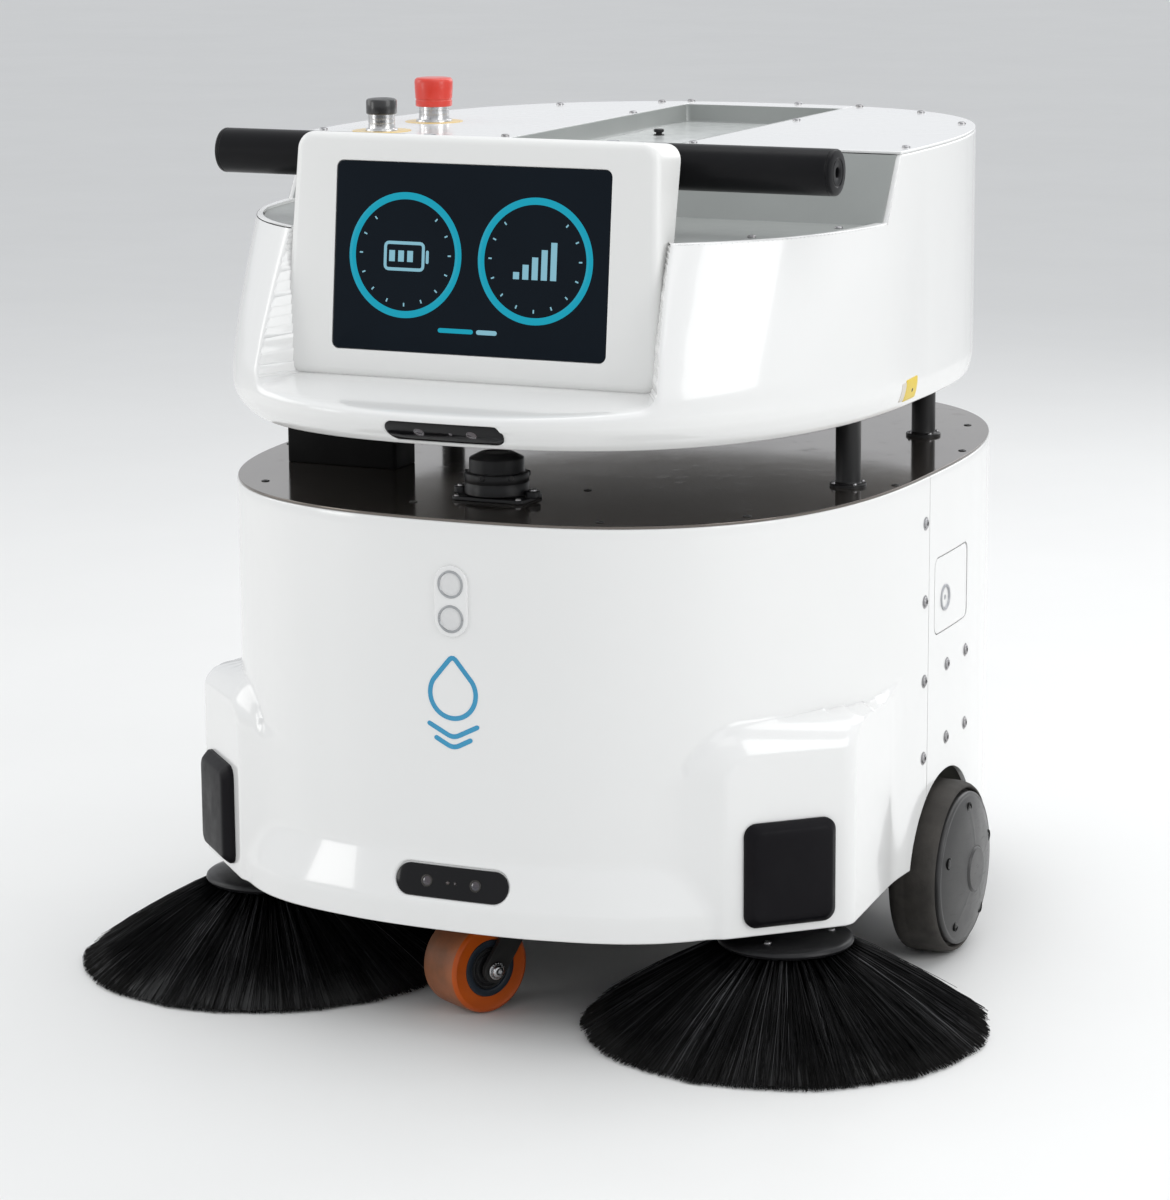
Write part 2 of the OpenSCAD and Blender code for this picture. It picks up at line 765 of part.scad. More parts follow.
module rear_caster(side) translate([side * rear_caster_at[0], rear_caster_at[1], 0])
  rotate([0, 0, 90]) children();
module rear_fork(side) color(fork_black) rear_caster(side)
  fork(rear_caster_r, rear_caster_w, rear_caster_trail);
module rear_wheel(side) color([0.3, 0.3, 0.31]) rear_caster(side)
  caster_wheel(rear_caster_r, rear_caster_w, rear_caster_trail, caster_axle_r + running_gap);

// ---- drawing -------------------------------------------------------------

translate([0, y_off, 0]) chassis_plate();
translate([0, y_off, 0]) frame_tubes();
translate([0, y_off, 0]) front_shell();
translate([0, y_off, 0]) rear_shell();
translate([0, y_off, 0]) deck_plate();
translate([0, y_off, 0]) bumper_pads();
translate([0, y_off, 0]) sensor_bezel();
translate([0, y_off, 0]) ultrasonic_sensors();
translate([0, y_off, 0]) front_camera_bezel();
translate([0, y_off, 0]) camera_lenses();
translate([0, y_off, 0]) lidar_bracket();
translate([0, y_off, 0]) lidar_scanner();
translate([0, y_off, 0]) head_posts();
translate([0, y_off, 0]) cable_duct();
translate([0, y_off, 0]) head_base_plate();
translate([0, y_off, 0]) head_shell();
translate([0, y_off, 0]) chin_camera();
translate([0, y_off, 0]) top_panel_left();
translate([0, y_off, 0]) top_panel_right();
translate([0, y_off, 0]) top_tray();
translate([0, y_off, 0]) handle_recess_pan();
translate([0, y_off, 0]) screen_housing();
translate([0, y_off, 0]) display_glass();
translate([0, y_off, 0]) display_module();
translate([0, y_off, 0]) handlebar();
translate([0, y_off, 0]) handle_brackets();
translate([0, y_off, 0]) handle_grips();
translate([0, y_off, 0]) button_bodies();
translate([0, y_off, 0]) button_legends();
translate([0, y_off, 0]) estop_cap();
translate([0, y_off, 0]) push_button_cap();
translate([0, y_off, 0]) head_screws();
translate([0, y_off, 0]) body_screws();
translate([0, y_off, 0]) battery();
translate([0, y_off, 0]) controller_box();
translate([0, y_off, 0]) vacuum_fan();
translate([0, y_off, 0]) dust_hopper();
translate([0, y_off, 0]) service_door();
translate([0, y_off, 0]) door_pull();
translate([0, y_off, 0]) door_pin();
translate([0, y_off, 0]) side_brush_motors();
translate([0, y_off, 0]) brush_hub(-1);  // brush_hub_left
translate([0, y_off, 0]) bristles(-1);  // bristles_left
translate([0, y_off, 0]) brush_hub(1);  // brush_hub_right
translate([0, y_off, 0]) bristles(1);  // bristles_right
translate([0, y_off, 0]) roller_housing();
translate([0, y_off, 0]) roller_core();
translate([0, y_off, 0]) roller_bristles();
translate([0, y_off, 0]) wheel_axles();
translate([0, y_off, 0]) mirror([1, 0, 0]) tyre();  // tyre_left
translate([0, y_off, 0]) mirror([1, 0, 0]) wheel_hub();  // wheel_hub_left
translate([0, y_off, 0]) tyre();  // tyre_right
translate([0, y_off, 0]) wheel_hub();  // wheel_hub_right
translate([0, y_off, 0]) caster_fork();
translate([0, y_off, 0]) caster_tyre();
translate([0, y_off, 0]) caster_core();
translate([0, y_off, 0]) rear_fork(-1);  // rear_fork_left
translate([0, y_off, 0]) rear_fork(1);  // rear_fork_right
translate([0, y_off, 0]) rear_wheel(-1);  // rear_wheel_left
translate([0, y_off, 0]) rear_wheel(1);  // rear_wheel_right
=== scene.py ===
import math

import bmesh
import bpy
import numpy as np
from mathutils import Matrix, Vector

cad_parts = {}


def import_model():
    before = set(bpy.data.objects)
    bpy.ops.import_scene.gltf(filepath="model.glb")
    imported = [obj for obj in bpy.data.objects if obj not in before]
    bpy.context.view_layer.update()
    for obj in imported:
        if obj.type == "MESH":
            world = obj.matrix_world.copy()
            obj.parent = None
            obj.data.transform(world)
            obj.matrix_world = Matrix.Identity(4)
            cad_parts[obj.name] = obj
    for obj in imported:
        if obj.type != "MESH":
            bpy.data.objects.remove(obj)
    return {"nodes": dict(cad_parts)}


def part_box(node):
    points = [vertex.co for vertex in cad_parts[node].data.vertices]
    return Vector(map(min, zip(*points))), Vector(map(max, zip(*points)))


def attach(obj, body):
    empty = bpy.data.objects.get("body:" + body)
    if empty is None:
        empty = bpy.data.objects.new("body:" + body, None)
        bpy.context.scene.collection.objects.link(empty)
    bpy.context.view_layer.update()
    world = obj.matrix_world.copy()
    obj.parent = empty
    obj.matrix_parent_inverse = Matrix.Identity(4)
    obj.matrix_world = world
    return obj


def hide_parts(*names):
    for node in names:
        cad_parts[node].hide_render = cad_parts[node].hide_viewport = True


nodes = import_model()["nodes"]
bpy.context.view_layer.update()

# Lengths are millimetres in the design's plan frame unless a comment says otherwise.
# place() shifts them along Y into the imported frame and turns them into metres.
SHELL_REAR_Y = 586.0
SHIFT_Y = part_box("rear_shell")[1].y * 1000.0 - SHELL_REAR_Y
CENTRE_Y = 96.0     # plan centre of the body and the head
DIAGONAL = 0.70711  # cosine of 45 degrees
rng = np.random.default_rng(7)


def place(points):
    points = np.asarray(points, float).reshape(-1, 3) * 0.001
    points[:, 1] += SHIFT_Y * 0.001
    return points


# ---------------------------------------------------------------- materials

MATERIALS = {}


class Shader:
    """A material with its output and Principled nodes, and short ways to add more nodes."""

    def __init__(self, name):
        material = bpy.data.materials.new(name)
        material.use_nodes = True
        self.tree = material.node_tree
        self.tree.nodes.clear()
        output = self.node("OutputMaterial")
        self.principled = self.node("BsdfPrincipled")
        self.tree.links.new(self.principled.outputs[0], output.inputs[0])
        MATERIALS[name] = material

    def feed(self, node, inputs):
        for socket, value in inputs.items():
            if isinstance(value, bpy.types.NodeSocket):
                self.tree.links.new(value, node.inputs[socket])
            else:
                node.inputs[socket].default_value = value

    def node(self, kind, inputs=None, **settings):
        node = self.tree.nodes.new("ShaderNode" + kind)
        for key, value in settings.items():
            setattr(node, key, value)
        self.feed(node, inputs or {})
        return node

    def math(self, operation, first, second, clamp=False):
        inputs = {0: first, 1: second}
        return self.node("Math", inputs, operation=operation, use_clamp=clamp).outputs[0]

    def noise(self, vector, scale, detail=3.0, rough=0.5):
        inputs = {"Scale": scale, "Detail": detail, "Roughness": rough, "Vector": vector}
        return self.node("TexNoise", inputs).outputs["Fac"]

    def remap(self, value, span, to=(0.0, 1.0)):
        inputs = {"From Min": span[0], "From Max": span[1], "To Min": to[0], "To Max": to[1],
                  "Value": value}
        return self.node("MapRange", inputs).outputs["Result"]

    def mix(self, factor, first, second):
        """Blend two colours; each is an RGB tuple or a socket."""
        inputs = {0: factor}
        for socket, color in ((6, first), (7, second)):
            inputs[socket] = (*color, 1.0) if isinstance(color, tuple) else color
        return self.node("Mix", inputs, data_type="RGBA").outputs[2]

    def bevel_normal(self, radius):
        return self.node("Bevel", {"Radius": radius}, samples=4).outputs[0]


def surface(name, color, color2=None, rough=0.4, rough_var=0.06, var_scale=9.0, metallic=0.0,
            bump=0.02, bump_scale=220.0, stretch=(1, 1, 1), coat=0.0, coat_rough=0.05,
            wear=0.0, wear_color=(0.5, 0.5, 0.5), scratch=0.0,
            dust=0.0, dust_color=(0.35, 0.33, 0.30), dust_top=0.25, bevel=0.0008, spec=0.5,
            sss=0.0, emit_color=None, emit_strength=0.0):
    """Mottled surface with optional edge wear, scratches and dust; bevel, dust_top in metres."""
    shader = Shader(name)
    object_coords = shader.node("TexCoord").outputs["Object"]
    mapping = shader.node("Mapping", {"Scale": stretch, "Vector": object_coords})
    vector = mapping.outputs["Vector"]
    if color2 is None:
        color2 = tuple(channel * 0.93 for channel in color)

    mottle = shader.noise(vector, scale=var_scale, detail=4.0, rough=0.55)
    base = shader.mix(shader.remap(mottle, span=(0.32, 0.72)), color, color2)
    if bump > 0:
        grain = shader.noise(vector, scale=bump_scale, rough=0.6)
    smears = shader.noise(vector, scale=var_scale * 4.3, detail=5.0, rough=0.6)
    roughness = shader.remap(smears, span=(0.3, 0.75), to=(rough - rough_var, rough + rough_var))
    normal = shader.bevel_normal(bevel) if bevel > 0 else None

    if wear > 0:
        # Edges show where a wide bevel normal leaves the true normal; noise breaks them up.
        true_normal = shader.node("NewGeometry").outputs["Normal"]
        wide_normal = shader.bevel_normal(max(bevel * 2.2, 0.0012))
        match = shader.node("VectorMath", {0: wide_normal, 1: true_normal},
                            operation="DOT_PRODUCT")
        edge = shader.remap(match.outputs["Value"], span=(0.995, 0.90))
        chips = shader.noise(vector, scale=55.0, detail=5.0, rough=0.7)
        spot = shader.remap(chips, span=(0.42, 0.62), to=(0.0, wear))
        base = shader.mix(shader.math("MULTIPLY", edge, spot, True), base, wear_color)

    if scratch > 0:
        # Stretched, turned noise makes fine rough streaks.
        streak_map = shader.node("Mapping", {"Scale": (1.0, 1.0, 14.0),
                                             "Rotation": (0.5, 0.9, 0.3),
                                             "Vector": object_coords})
        streaks = shader.noise(streak_map.outputs["Vector"], scale=60.0, detail=8.0)
        streaks = shader.remap(streaks, span=(0.60, 0.68), to=(0.0, scratch))
        roughness = shader.math("ADD", roughness, streaks, True)

    if dust > 0:
        # Dust thickens from dust_top down to 0.03 m above the floor.
        position = shader.node("NewGeometry").outputs["Position"]
        height = shader.node("SeparateXYZ", {0: position}).outputs["Z"]
        low = shader.remap(height, span=(dust_top, 0.03))
        patches = shader.noise(vector, scale=28.0, detail=6.0, rough=0.65)
        patches = shader.remap(patches, span=(0.38, 0.72), to=(0.15, 1.0))
        cover = shader.math("MULTIPLY", shader.math("MULTIPLY", low, patches), dust, True)
        base = shader.mix(cover, base, dust_color)
        roughening = shader.math("MULTIPLY", cover, 0.35)
        roughness = shader.math("ADD", roughness, roughening, True)

    inputs = {"Base Color": base, "Roughness": roughness, "Metallic": metallic,
              "Specular IOR Level": spec, "Coat Weight": coat, "Coat Roughness": coat_rough}
    if sss > 0:
        inputs["Subsurface Weight"] = sss
        inputs["Subsurface Radius"] = (0.006, 0.003, 0.0015)
        inputs["Subsurface Scale"] = 0.6
    if emit_color:
        inputs["Emission Color"] = (*emit_color, 1.0)
        inputs["Emission Strength"] = emit_strength
    if bump > 0:
        bump_inputs = {"Strength": bump, "Distance": 0.001, "Height": grain}
        if normal is not None:
            bump_inputs["Normal"] = normal
        normal = shader.node("Bump", bump_inputs).outputs[0]
    if normal is not None:
        inputs["Normal"] = normal
    shader.feed(shader.principled, inputs)


def bristle_surface(name, dark, light):
    """Strand colour from each strand's shade value, paler towards the tip (along = 1); on the
    side brushes the pale strands are painted sheen highlights.
    """
    shader = Shader(name)
    shade = shader.node("Attribute", attribute_name="shade").outputs["Fac"]
    along = shader.node("Attribute", attribute_name="along").outputs["Fac"]
    coords = shader.node("TexCoord").outputs["Object"]
    patches = shader.noise(coords, scale=26.0, detail=4.0, rough=0.6)
    patches = shader.remap(patches, span=(0.3, 0.7), to=(0.55, 1.25))
    color = shader.mix(shader.math("MULTIPLY", shade, patches, True), dark, light)
    tip = shader.remap(along, span=(0.80, 1.0), to=(0.0, 0.22))
    color = shader.mix(tip, color, (0.045, 0.043, 0.04))
    shader.feed(shader.principled, {"Base Color": color, "Roughness": 0.3,
                                    "Specular IOR Level": 0.08, "Anisotropic": 0.3})


# White mouldings, panels and deck
surface("shell_white", (0.83, 0.83, 0.82), (0.81, 0.81, 0.80), rough=0.15, rough_var=0.015,
        var_scale=2.0, bump_scale=40.0, coat=0.5, coat_rough=0.03, dust=0.25,
        dust_color=(0.5, 0.49, 0.46), dust_top=0.14, bevel=0.0012, wear=0.10,
        wear_color=(0.66, 0.65, 0.63))
surface("panel_white", (0.82, 0.82, 0.81), (0.80, 0.80, 0.795), rough=0.17, rough_var=0.015,
        var_scale=2.5, bump_scale=700.0, coat=0.6, bevel=0.0006, wear=0.10,
        wear_color=(0.66, 0.66, 0.65))
surface("housing_white", (0.80, 0.80, 0.785), (0.785, 0.785, 0.77), rough=0.32, rough_var=0.02,
        var_scale=2.0, bump=0.04, bump_scale=900.0, coat=0.1, bevel=0.001, wear=0.08,
        wear_color=(0.66, 0.66, 0.64))
surface("deck_dark", (0.17, 0.15, 0.135), (0.20, 0.18, 0.16), rough=0.10, rough_var=0.03,
        var_scale=3.0, bump=0.015, bump_scale=300.0, metallic=0.85, scratch=0.08,
        bevel=0.0005, wear=0.4, wear_color=(0.30, 0.29, 0.28))
surface("panel_grey", (0.33, 0.345, 0.335), (0.30, 0.315, 0.305), rough=0.36, rough_var=0.04,
        bump=0.04, bump_scale=800.0, metallic=0.2, bevel=0.0006, wear=0.4,
        wear_color=(0.55, 0.56, 0.57))
# Black parts
surface("frame_black", (0.010, 0.010, 0.011), (0.017, 0.0165, 0.016), rough=0.36,
        rough_var=0.07, bump=0.06, bump_scale=900.0, spec=0.3, wear=0.4,
        wear_color=(0.10, 0.10, 0.10), dust=0.25, dust_top=0.12, dust_color=(0.12, 0.115, 0.11))
surface("black_plastic", (0.008, 0.008, 0.009), (0.014, 0.014, 0.015), rough=0.36,
        rough_var=0.08, bump=0.06, bump_scale=1100.0, spec=0.28, wear=0.35,
        wear_color=(0.08, 0.08, 0.08))
surface("black_rubber", (0.005, 0.0045, 0.006), (0.008, 0.0075, 0.009), rough=0.42,
        rough_var=0.08, bump=0.08, bump_scale=1500.0, spec=0.09, wear=0.4,
        wear_color=(0.05, 0.05, 0.05), dust=0.05, dust_color=(0.08, 0.08, 0.08), bevel=0.0012)
surface("grip_black", (0.005, 0.005, 0.006), (0.009, 0.009, 0.010), rough=0.34, rough_var=0.05,
        bump=0.04, bump_scale=1300.0, spec=0.13, wear=0.35, wear_color=(0.05, 0.05, 0.05),
        bevel=0.001)
# Metal and sensors
surface("steel_bright", (0.62, 0.62, 0.62), (0.52, 0.52, 0.53), rough=0.24, metallic=1.0,
        bump=0.05, bump_scale=500.0, stretch=(1, 1, 6), bevel=0.0003, wear=0.3,
        wear_color=(0.8, 0.8, 0.8))
surface("screw_steel", (0.42, 0.42, 0.43), (0.28, 0.27, 0.27), rough=0.32, rough_var=0.1,
        metallic=1.0, bump=0.08, bump_scale=700.0, bevel=0.0002)
surface("bracket_grey", (0.42, 0.43, 0.45), rough=0.35, metallic=0.6, bump=0.05, wear=0.3,
        wear_color=(0.7, 0.7, 0.7))
surface("sensor_grey", (0.42, 0.43, 0.44), (0.36, 0.37, 0.38), rough=0.3, metallic=0.7,
        bump=0.03, bevel=0.0003)
surface("sensor_face", (0.72, 0.72, 0.715), (0.68, 0.68, 0.68), rough=0.25, bump=0.03,
        coat=0.4, bevel=0.0003)
# Windows, lenses and the screen
surface("window_black", (0.003, 0.003, 0.004), (0.006, 0.0055, 0.006), rough=0.10,
        rough_var=0.03, bump=0.01, spec=0.25, bevel=0.0006)
surface("lens_glass", (0.02, 0.018, 0.03), (0.05, 0.03, 0.03), rough=0.05, rough_var=0.02,
        bump=0.0, coat=1.0, coat_rough=0.01, var_scale=60.0, bevel=0.0)
surface("lens_ring", (0.035, 0.033, 0.03), (0.06, 0.055, 0.05), rough=0.3, metallic=0.6,
        bump=0.03)
surface("screen_glass", (0.0015, 0.0035, 0.0065), (0.002, 0.0045, 0.008), rough=0.16,
        rough_var=0.02, bump=0.01, bump_scale=2500.0, var_scale=12.0, spec=0.12,
        emit_color=(0.0007, 0.0028, 0.0055), emit_strength=0.5, bevel=0.0)
surface("screen_cyan", (0.004, 0.06, 0.08), (0.004, 0.055, 0.075), rough=0.3, spec=0.1,
        bump=0.0, var_scale=500.0, emit_color=(0.006, 0.30, 0.42), emit_strength=0.92,
        bevel=0.0)
surface("screen_pale", (0.05, 0.08, 0.1), (0.05, 0.075, 0.09), rough=0.3, spec=0.1, bump=0.0,
        var_scale=500.0, emit_color=(0.22, 0.47, 0.57), emit_strength=0.85, bevel=0.0)
# Mark, buttons and legends
surface("mark_blue", (0.025, 0.30, 0.52), (0.02, 0.27, 0.48), rough=0.25, coat=0.4, bevel=0.0)
surface("red_button", (0.72, 0.045, 0.025), (0.62, 0.035, 0.02), rough=0.34, rough_var=0.05,
        bump=0.04, bump_scale=900.0, coat=0.2, wear=0.3, wear_color=(0.75, 0.25, 0.2))
surface("black_button", (0.02, 0.02, 0.022), (0.03, 0.03, 0.03), rough=0.3, bump=0.04,
        coat=0.3, wear=0.3, wear_color=(0.1, 0.1, 0.1))
surface("legend_yellow", (0.80, 0.56, 0.17), (0.76, 0.54, 0.18), rough=0.3, bump=0.03,
        coat=0.3, bevel=0.0)
surface("tab_yellow", (0.80, 0.60, 0.04), (0.72, 0.52, 0.04), bump=0.04, bevel=0.0003)
# Wheels
surface("tyre_rubber", (0.030, 0.028, 0.025), (0.055, 0.050, 0.045), rough=0.7, rough_var=0.1,
        bump=0.2, bump_scale=500.0, var_scale=14.0, spec=0.3, dust=0.4,
        dust_color=(0.12, 0.11, 0.10), dust_top=0.35, bevel=0.0015)
surface("hub_dark", (0.028, 0.028, 0.029), (0.040, 0.0395, 0.039), rough=0.34, bump=0.06,
        bump_scale=900.0, spec=0.45, dust=0.15, dust_color=(0.14, 0.135, 0.13), wear=0.3,
        wear_color=(0.12, 0.12, 0.12), bevel=0.0012, scratch=0.12)
surface("caster_orange", (0.56, 0.095, 0.004), (0.40, 0.06, 0.004), rough=0.36, rough_var=0.08,
        bump=0.08, bump_scale=300.0, var_scale=16.0, sss=0.1, spec=0.3, dust=0.15,
        dust_color=(0.20, 0.10, 0.05), dust_top=0.12, bevel=0.001)
surface("caster_tread", (0.36, 0.12, 0.05), (0.17, 0.075, 0.04), rough=0.5, rough_var=0.1,
        bump=0.12, bump_scale=260.0, var_scale=22.0, spec=0.3, dust=0.25,
        dust_color=(0.14, 0.09, 0.06), dust_top=0.14, bevel=0.001)
surface("caster_core_grey", (0.022, 0.030, 0.042), (0.015, 0.02, 0.028), bump=0.06, spec=0.3,
        wear=0.3, wear_color=(0.1, 0.11, 0.12), var_scale=30.0)
surface("rear_wheel_grey", (0.09, 0.09, 0.09), (0.13, 0.125, 0.12), rough=0.6, bump=0.12,
        dust=0.5, dust_top=0.12)
# Inner parts
surface("inner_plastic", (0.010, 0.010, 0.011), (0.016, 0.016, 0.016), rough=0.55, bump=0.08,
        spec=0.25, dust=0.2, dust_color=(0.07, 0.07, 0.065))
surface("head_base", (0.42, 0.41, 0.40), (0.38, 0.37, 0.36), bump=0.04, wear=0.2,
        wear_color=(0.6, 0.6, 0.6))
surface("battery_case", (0.05, 0.09, 0.25), (0.04, 0.07, 0.2), rough=0.35, metallic=0.2,
        bump=0.04)
surface("electronics", (0.5, 0.52, 0.54), (0.42, 0.44, 0.46), rough=0.35, metallic=0.8,
        bump=0.05, stretch=(1, 8, 1))
# The light tone gives the painted sheen highlights on the side brush strands.
bristle_surface("bristle", dark=(0.0012, 0.0012, 0.0014), light=(0.12, 0.12, 0.125))
surface("dark_screw", (0.03, 0.03, 0.03), (0.05, 0.05, 0.05), bump=0.04, spec=0.3)
# Near-black for the cable duct and the cups round the hub screws: painted shade under the head
# and in the screw recesses; the duct itself is black plastic.
surface("matte_black", (0.002, 0.002, 0.002), (0.004, 0.004, 0.004), rough=0.5, bump=0.04,
        spec=0.08)
surface("wheel_well", (0.15, 0.152, 0.135), (0.12, 0.122, 0.11), rough=0.6, bump=0.1, spec=0.2,
        dust=0.2, dust_color=(0.1, 0.1, 0.09))
bristle_surface("roller_bristle", dark=(0.01, 0.01, 0.011), light=(0.08, 0.08, 0.08))
# The tray floor is the pan's grey made lighter: painted light on its upward face.
surface("tray_floor", (0.58, 0.60, 0.59), (0.55, 0.57, 0.56), rough=0.22, bump_scale=700.0,
        coat=0.3, bevel=0.0)
surface("tag_pale", (0.70, 0.66, 0.58), (0.66, 0.62, 0.55), bump=0.03, bevel=0.0)


# ---------------------------------------------------------------- objects
# A "mesh" below is a pair: vertices and faces.

def add_object(name, data):
    ob = bpy.data.objects.new(name, data)
    bpy.context.scene.collection.objects.link(ob)
    return ob


def mesh_data(name, mesh):
    verts, faces = mesh
    data = bpy.data.meshes.new(name)
    data.from_pydata(place(verts).tolist(), [], [tuple(int(i) for i in face) for face in faces])
    return data


def face_outward(data):
    bm = bmesh.new()
    bm.from_mesh(data)
    bmesh.ops.recalc_face_normals(bm, faces=bm.faces)
    bm.to_mesh(data)
    bm.free()


def smooth_faces(data):
    data.polygons.foreach_set("use_smooth", np.ones(len(data.polygons), bool))


def finish_mesh(data, angle):
    face_outward(data)
    smooth_faces(data)
    data.set_sharp_from_angle(angle=math.radians(angle))
    data.update()


def register(ob, body, replaced):
    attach(ob, body)
    if replaced:
        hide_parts(replaced)


def put(name, mesh, body, materials, replaced=None, angle=38.0, face_materials=None):
    """Make an object; materials holds names split by spaces, angle the sharp edge limit."""
    data = mesh_data(name, mesh)
    data.validate(clean_customdata=False)
    ob = add_object(name, data)
    for material in materials.split():
        data.materials.append(MATERIALS[material])
    if face_materials is not None:
        data.polygons.foreach_set("material_index", np.asarray(face_materials, np.int32))
    finish_mesh(data, angle)
    register(ob, body, replaced)
    return ob


class Part:
    """Collects the meshes of one object, each with a material number."""

    def __init__(self):
        self.verts, self.faces, self.materials, self.count = [], [], [], 0

    def add(self, mesh, material=0):
        verts = np.asarray(mesh[0], float).reshape(-1, 3)
        self.verts.append(verts)
        self.faces += [tuple(int(i) + self.count for i in face) for face in mesh[1]]
        self.materials += [material] * len(mesh[1])
        self.count += len(verts)

    def put(self, name, body, materials, slot, replaced=None, angle=38.0):
        mesh = np.concatenate(self.verts), self.faces
        return put(name, mesh, body, materials, replaced, angle, self.materials)


def boolean(ob, cutters, operation="DIFFERENCE"):
    for mesh in cutters:
        data = mesh_data("cutter", mesh)
        cutter = add_object("cutter", data)
        face_outward(data)
        modifier = ob.modifiers.new("cut", "BOOLEAN")
        modifier.operation = operation
        modifier.solver = "EXACT"
        modifier.object = cutter
        bpy.context.view_layer.update()
        depsgraph = bpy.context.evaluated_depsgraph_get()
        depsgraph.update()
        result = bpy.data.meshes.new_from_object(
            ob.evaluated_get(depsgraph), preserve_all_data_layers=True, depsgraph=depsgraph)
        ob.modifiers.clear()
        old = ob.data
        ob.data = result
        bpy.data.meshes.remove(old)
        bpy.data.objects.remove(cutter)
    finish_mesh(ob.data, 32.0)


# ---------------------------------------------------------------- mesh helpers

def grid_faces(rows, cols, close_rows=False, close_cols=False):
    row, col = np.meshgrid(np.arange(rows if close_rows else rows - 1),
                           np.arange(cols if close_cols else cols - 1), indexing="ij")
    row2, col2 = (row + 1) % rows, (col + 1) % cols
    corners = [row * cols + col, row * cols + col2, row2 * cols + col2, row2 * cols + col]
    return [tuple(quad) for quad in np.stack(corners, -1).reshape(-1, 4)]


def axis_matrix(axis):
    """Rotation whose third column is the axis."""
    axis = np.asarray(axis, float)
    axis = axis / np.linalg.norm(axis)
    helper = np.array([0, 0, 1.0]) if abs(axis[2]) < 0.9 else np.array([0, 1.0, 0])
    across = np.cross(helper, axis)
    across /= np.linalg.norm(across)
    return np.stack([across, np.cross(axis, across), axis], 1)


def lathe(profile, axis=(0, 0, 1), origin=(0, 0, 0), seg=96):
    """Turn (radius, height along axis) rows; a row on the axis closes with a fan."""
    angles = np.arange(seg) * 2 * np.pi / seg
    verts, faces, rows = [], [], []
    for radius, height in profile:
        if radius < 1e-6:
            rows.append([len(verts)] * seg)
            verts.append((0, 0, height))
        else:
            rows.append(list(range(len(verts), len(verts) + seg)))
            verts += [(radius * math.cos(a), radius * math.sin(a), height) for a in angles]
    for low, high in zip(rows, rows[1:]):
        for i in range(seg):
            j = (i + 1) % seg
            face = list(dict.fromkeys([low[i], low[j], high[j], high[i]]))
            if len(face) > 2:
                faces.append(face)
    return np.asarray(verts) @ axis_matrix(axis).T + np.asarray(origin, float), faces


def closed_lathe(profile, **options):
    """Turn a profile that closes on itself."""
    return lathe(list(profile) + [profile[0]], **options)


def arc(centre_x, centre_y, radius, start, end, steps):
    angles = [math.radians(start + (end - start) * i / steps) for i in range(steps + 1)]
    return [(centre_x + radius * math.cos(a), centre_y + radius * math.sin(a)) for a in angles]


def round_rect(half_w, half_h, radius, corner, straight, half_top=None):
    """Rounded rectangle, or a trapezium if half_top is given.

    corner is the steps per corner and straight the points per side, so outlines with
    equal counts match point to point.
    """
    bottom, top = half_w - radius, (half_w if half_top is None else half_top) - radius
    rise = half_h - radius
    corners = [arc(x, y, radius, start, start + 90, corner) for x, y, start in
               ((bottom, -rise, -90), (top, rise, 0), (-top, rise, 90), (-bottom, -rise, 180))]
    points = []
    for i in range(4):
        points += corners[i]
        (x0, y0), (x1, y1) = corners[i][-1], corners[(i + 1) % 4][0]
        for step in range(1, straight + 1):
            points.append((x0 + (x1 - x0) * step / (straight + 1),
                           y0 + (y1 - y0) * step / (straight + 1)))
    return np.asarray(points)


def level_xy(outline, z, centre=(0.0, 0.0)):
    """Outline laid flat at height z."""
    return np.c_[outline[:, 0] + centre[0], outline[:, 1] + centre[1], np.full(len(outline), z)]


def level_xz(outline, y, centre=(0.0, 0.0)):
    """Outline stood upright across the depth y."""
    return np.c_[outline[:, 0] + centre[0], np.full(len(outline), y), outline[:, 1] + centre[1]]


def loft(rings, cap_first=True, cap_last=True):
    """Skin matching rings of points."""
    count = len(rings[0])
    faces = grid_faces(len(rings), count, close_cols=True)
    if cap_first:
        faces.append(tuple(range(count - 1, -1, -1)))
    if cap_last:
        faces.append(tuple(range((len(rings) - 1) * count, len(rings) * count)))
    return np.concatenate(rings), faces


def prism(outline, z0, z1, edge, steps):
    """Flat plate with rounded edges from a convex or gently curved outline in XY."""
    outline = np.asarray(outline, float)
    x, y = outline.T
    chord = np.roll(outline, -1, 0) - np.roll(outline, 1, 0)
    normal = np.stack([chord[:, 1], -chord[:, 0]], 1)
    normal /= np.linalg.norm(normal, axis=1)[:, None] + 1e-9
    if 0.5 * np.sum(x * np.roll(y, -1) - np.roll(x, -1) * y) < 0:
        normal = -normal
    quarter = [math.pi / 2 * i / steps for i in range(steps + 1)]
    flat = edge + 0.9
    rows = [(flat, z0)]
    rows += [(edge * (1 - math.sin(a)), z0 + edge * (1 - math.cos(a))) for a in quarter]
    rows += [(edge * (1 - math.cos(a)), z1 - edge + edge * math.sin(a)) for a in quarter]
    rows += [(flat, z1)]
    return loft([level_xy(outline - normal * inset, z) for inset, z in rows])


def screw_head(position, normal, radius, height, spin=0.0):
    """Domed screw head with a hexagon socket."""
    angles = np.arange(24) * 2 * np.pi / 24 + spin
    socket = 0.46 * radius * np.cos(np.pi / 6) / np.cos((angles % (np.pi / 3)) - np.pi / 6)
    rows = [(radius * 0.98, -0.4), (radius, 0.15), (radius, 0.45 * height),
            (0.93 * radius, 0.75 * height), (0.78 * radius, 0.93 * height),
            (0.6 * radius, height), (socket, height), (socket * 0.97, 0.35 * height)]
    matrix, origin = axis_matrix(normal), np.asarray(position, float)
    return loft([np.c_[r * np.cos(angles), r * np.sin(angles), np.full(24, level)] @ matrix.T
                 + origin for r, level in rows])


# ---------------------------------------------------------------- shell fields
# Outer surfaces are radii from the plan centre, by plan angle and height.

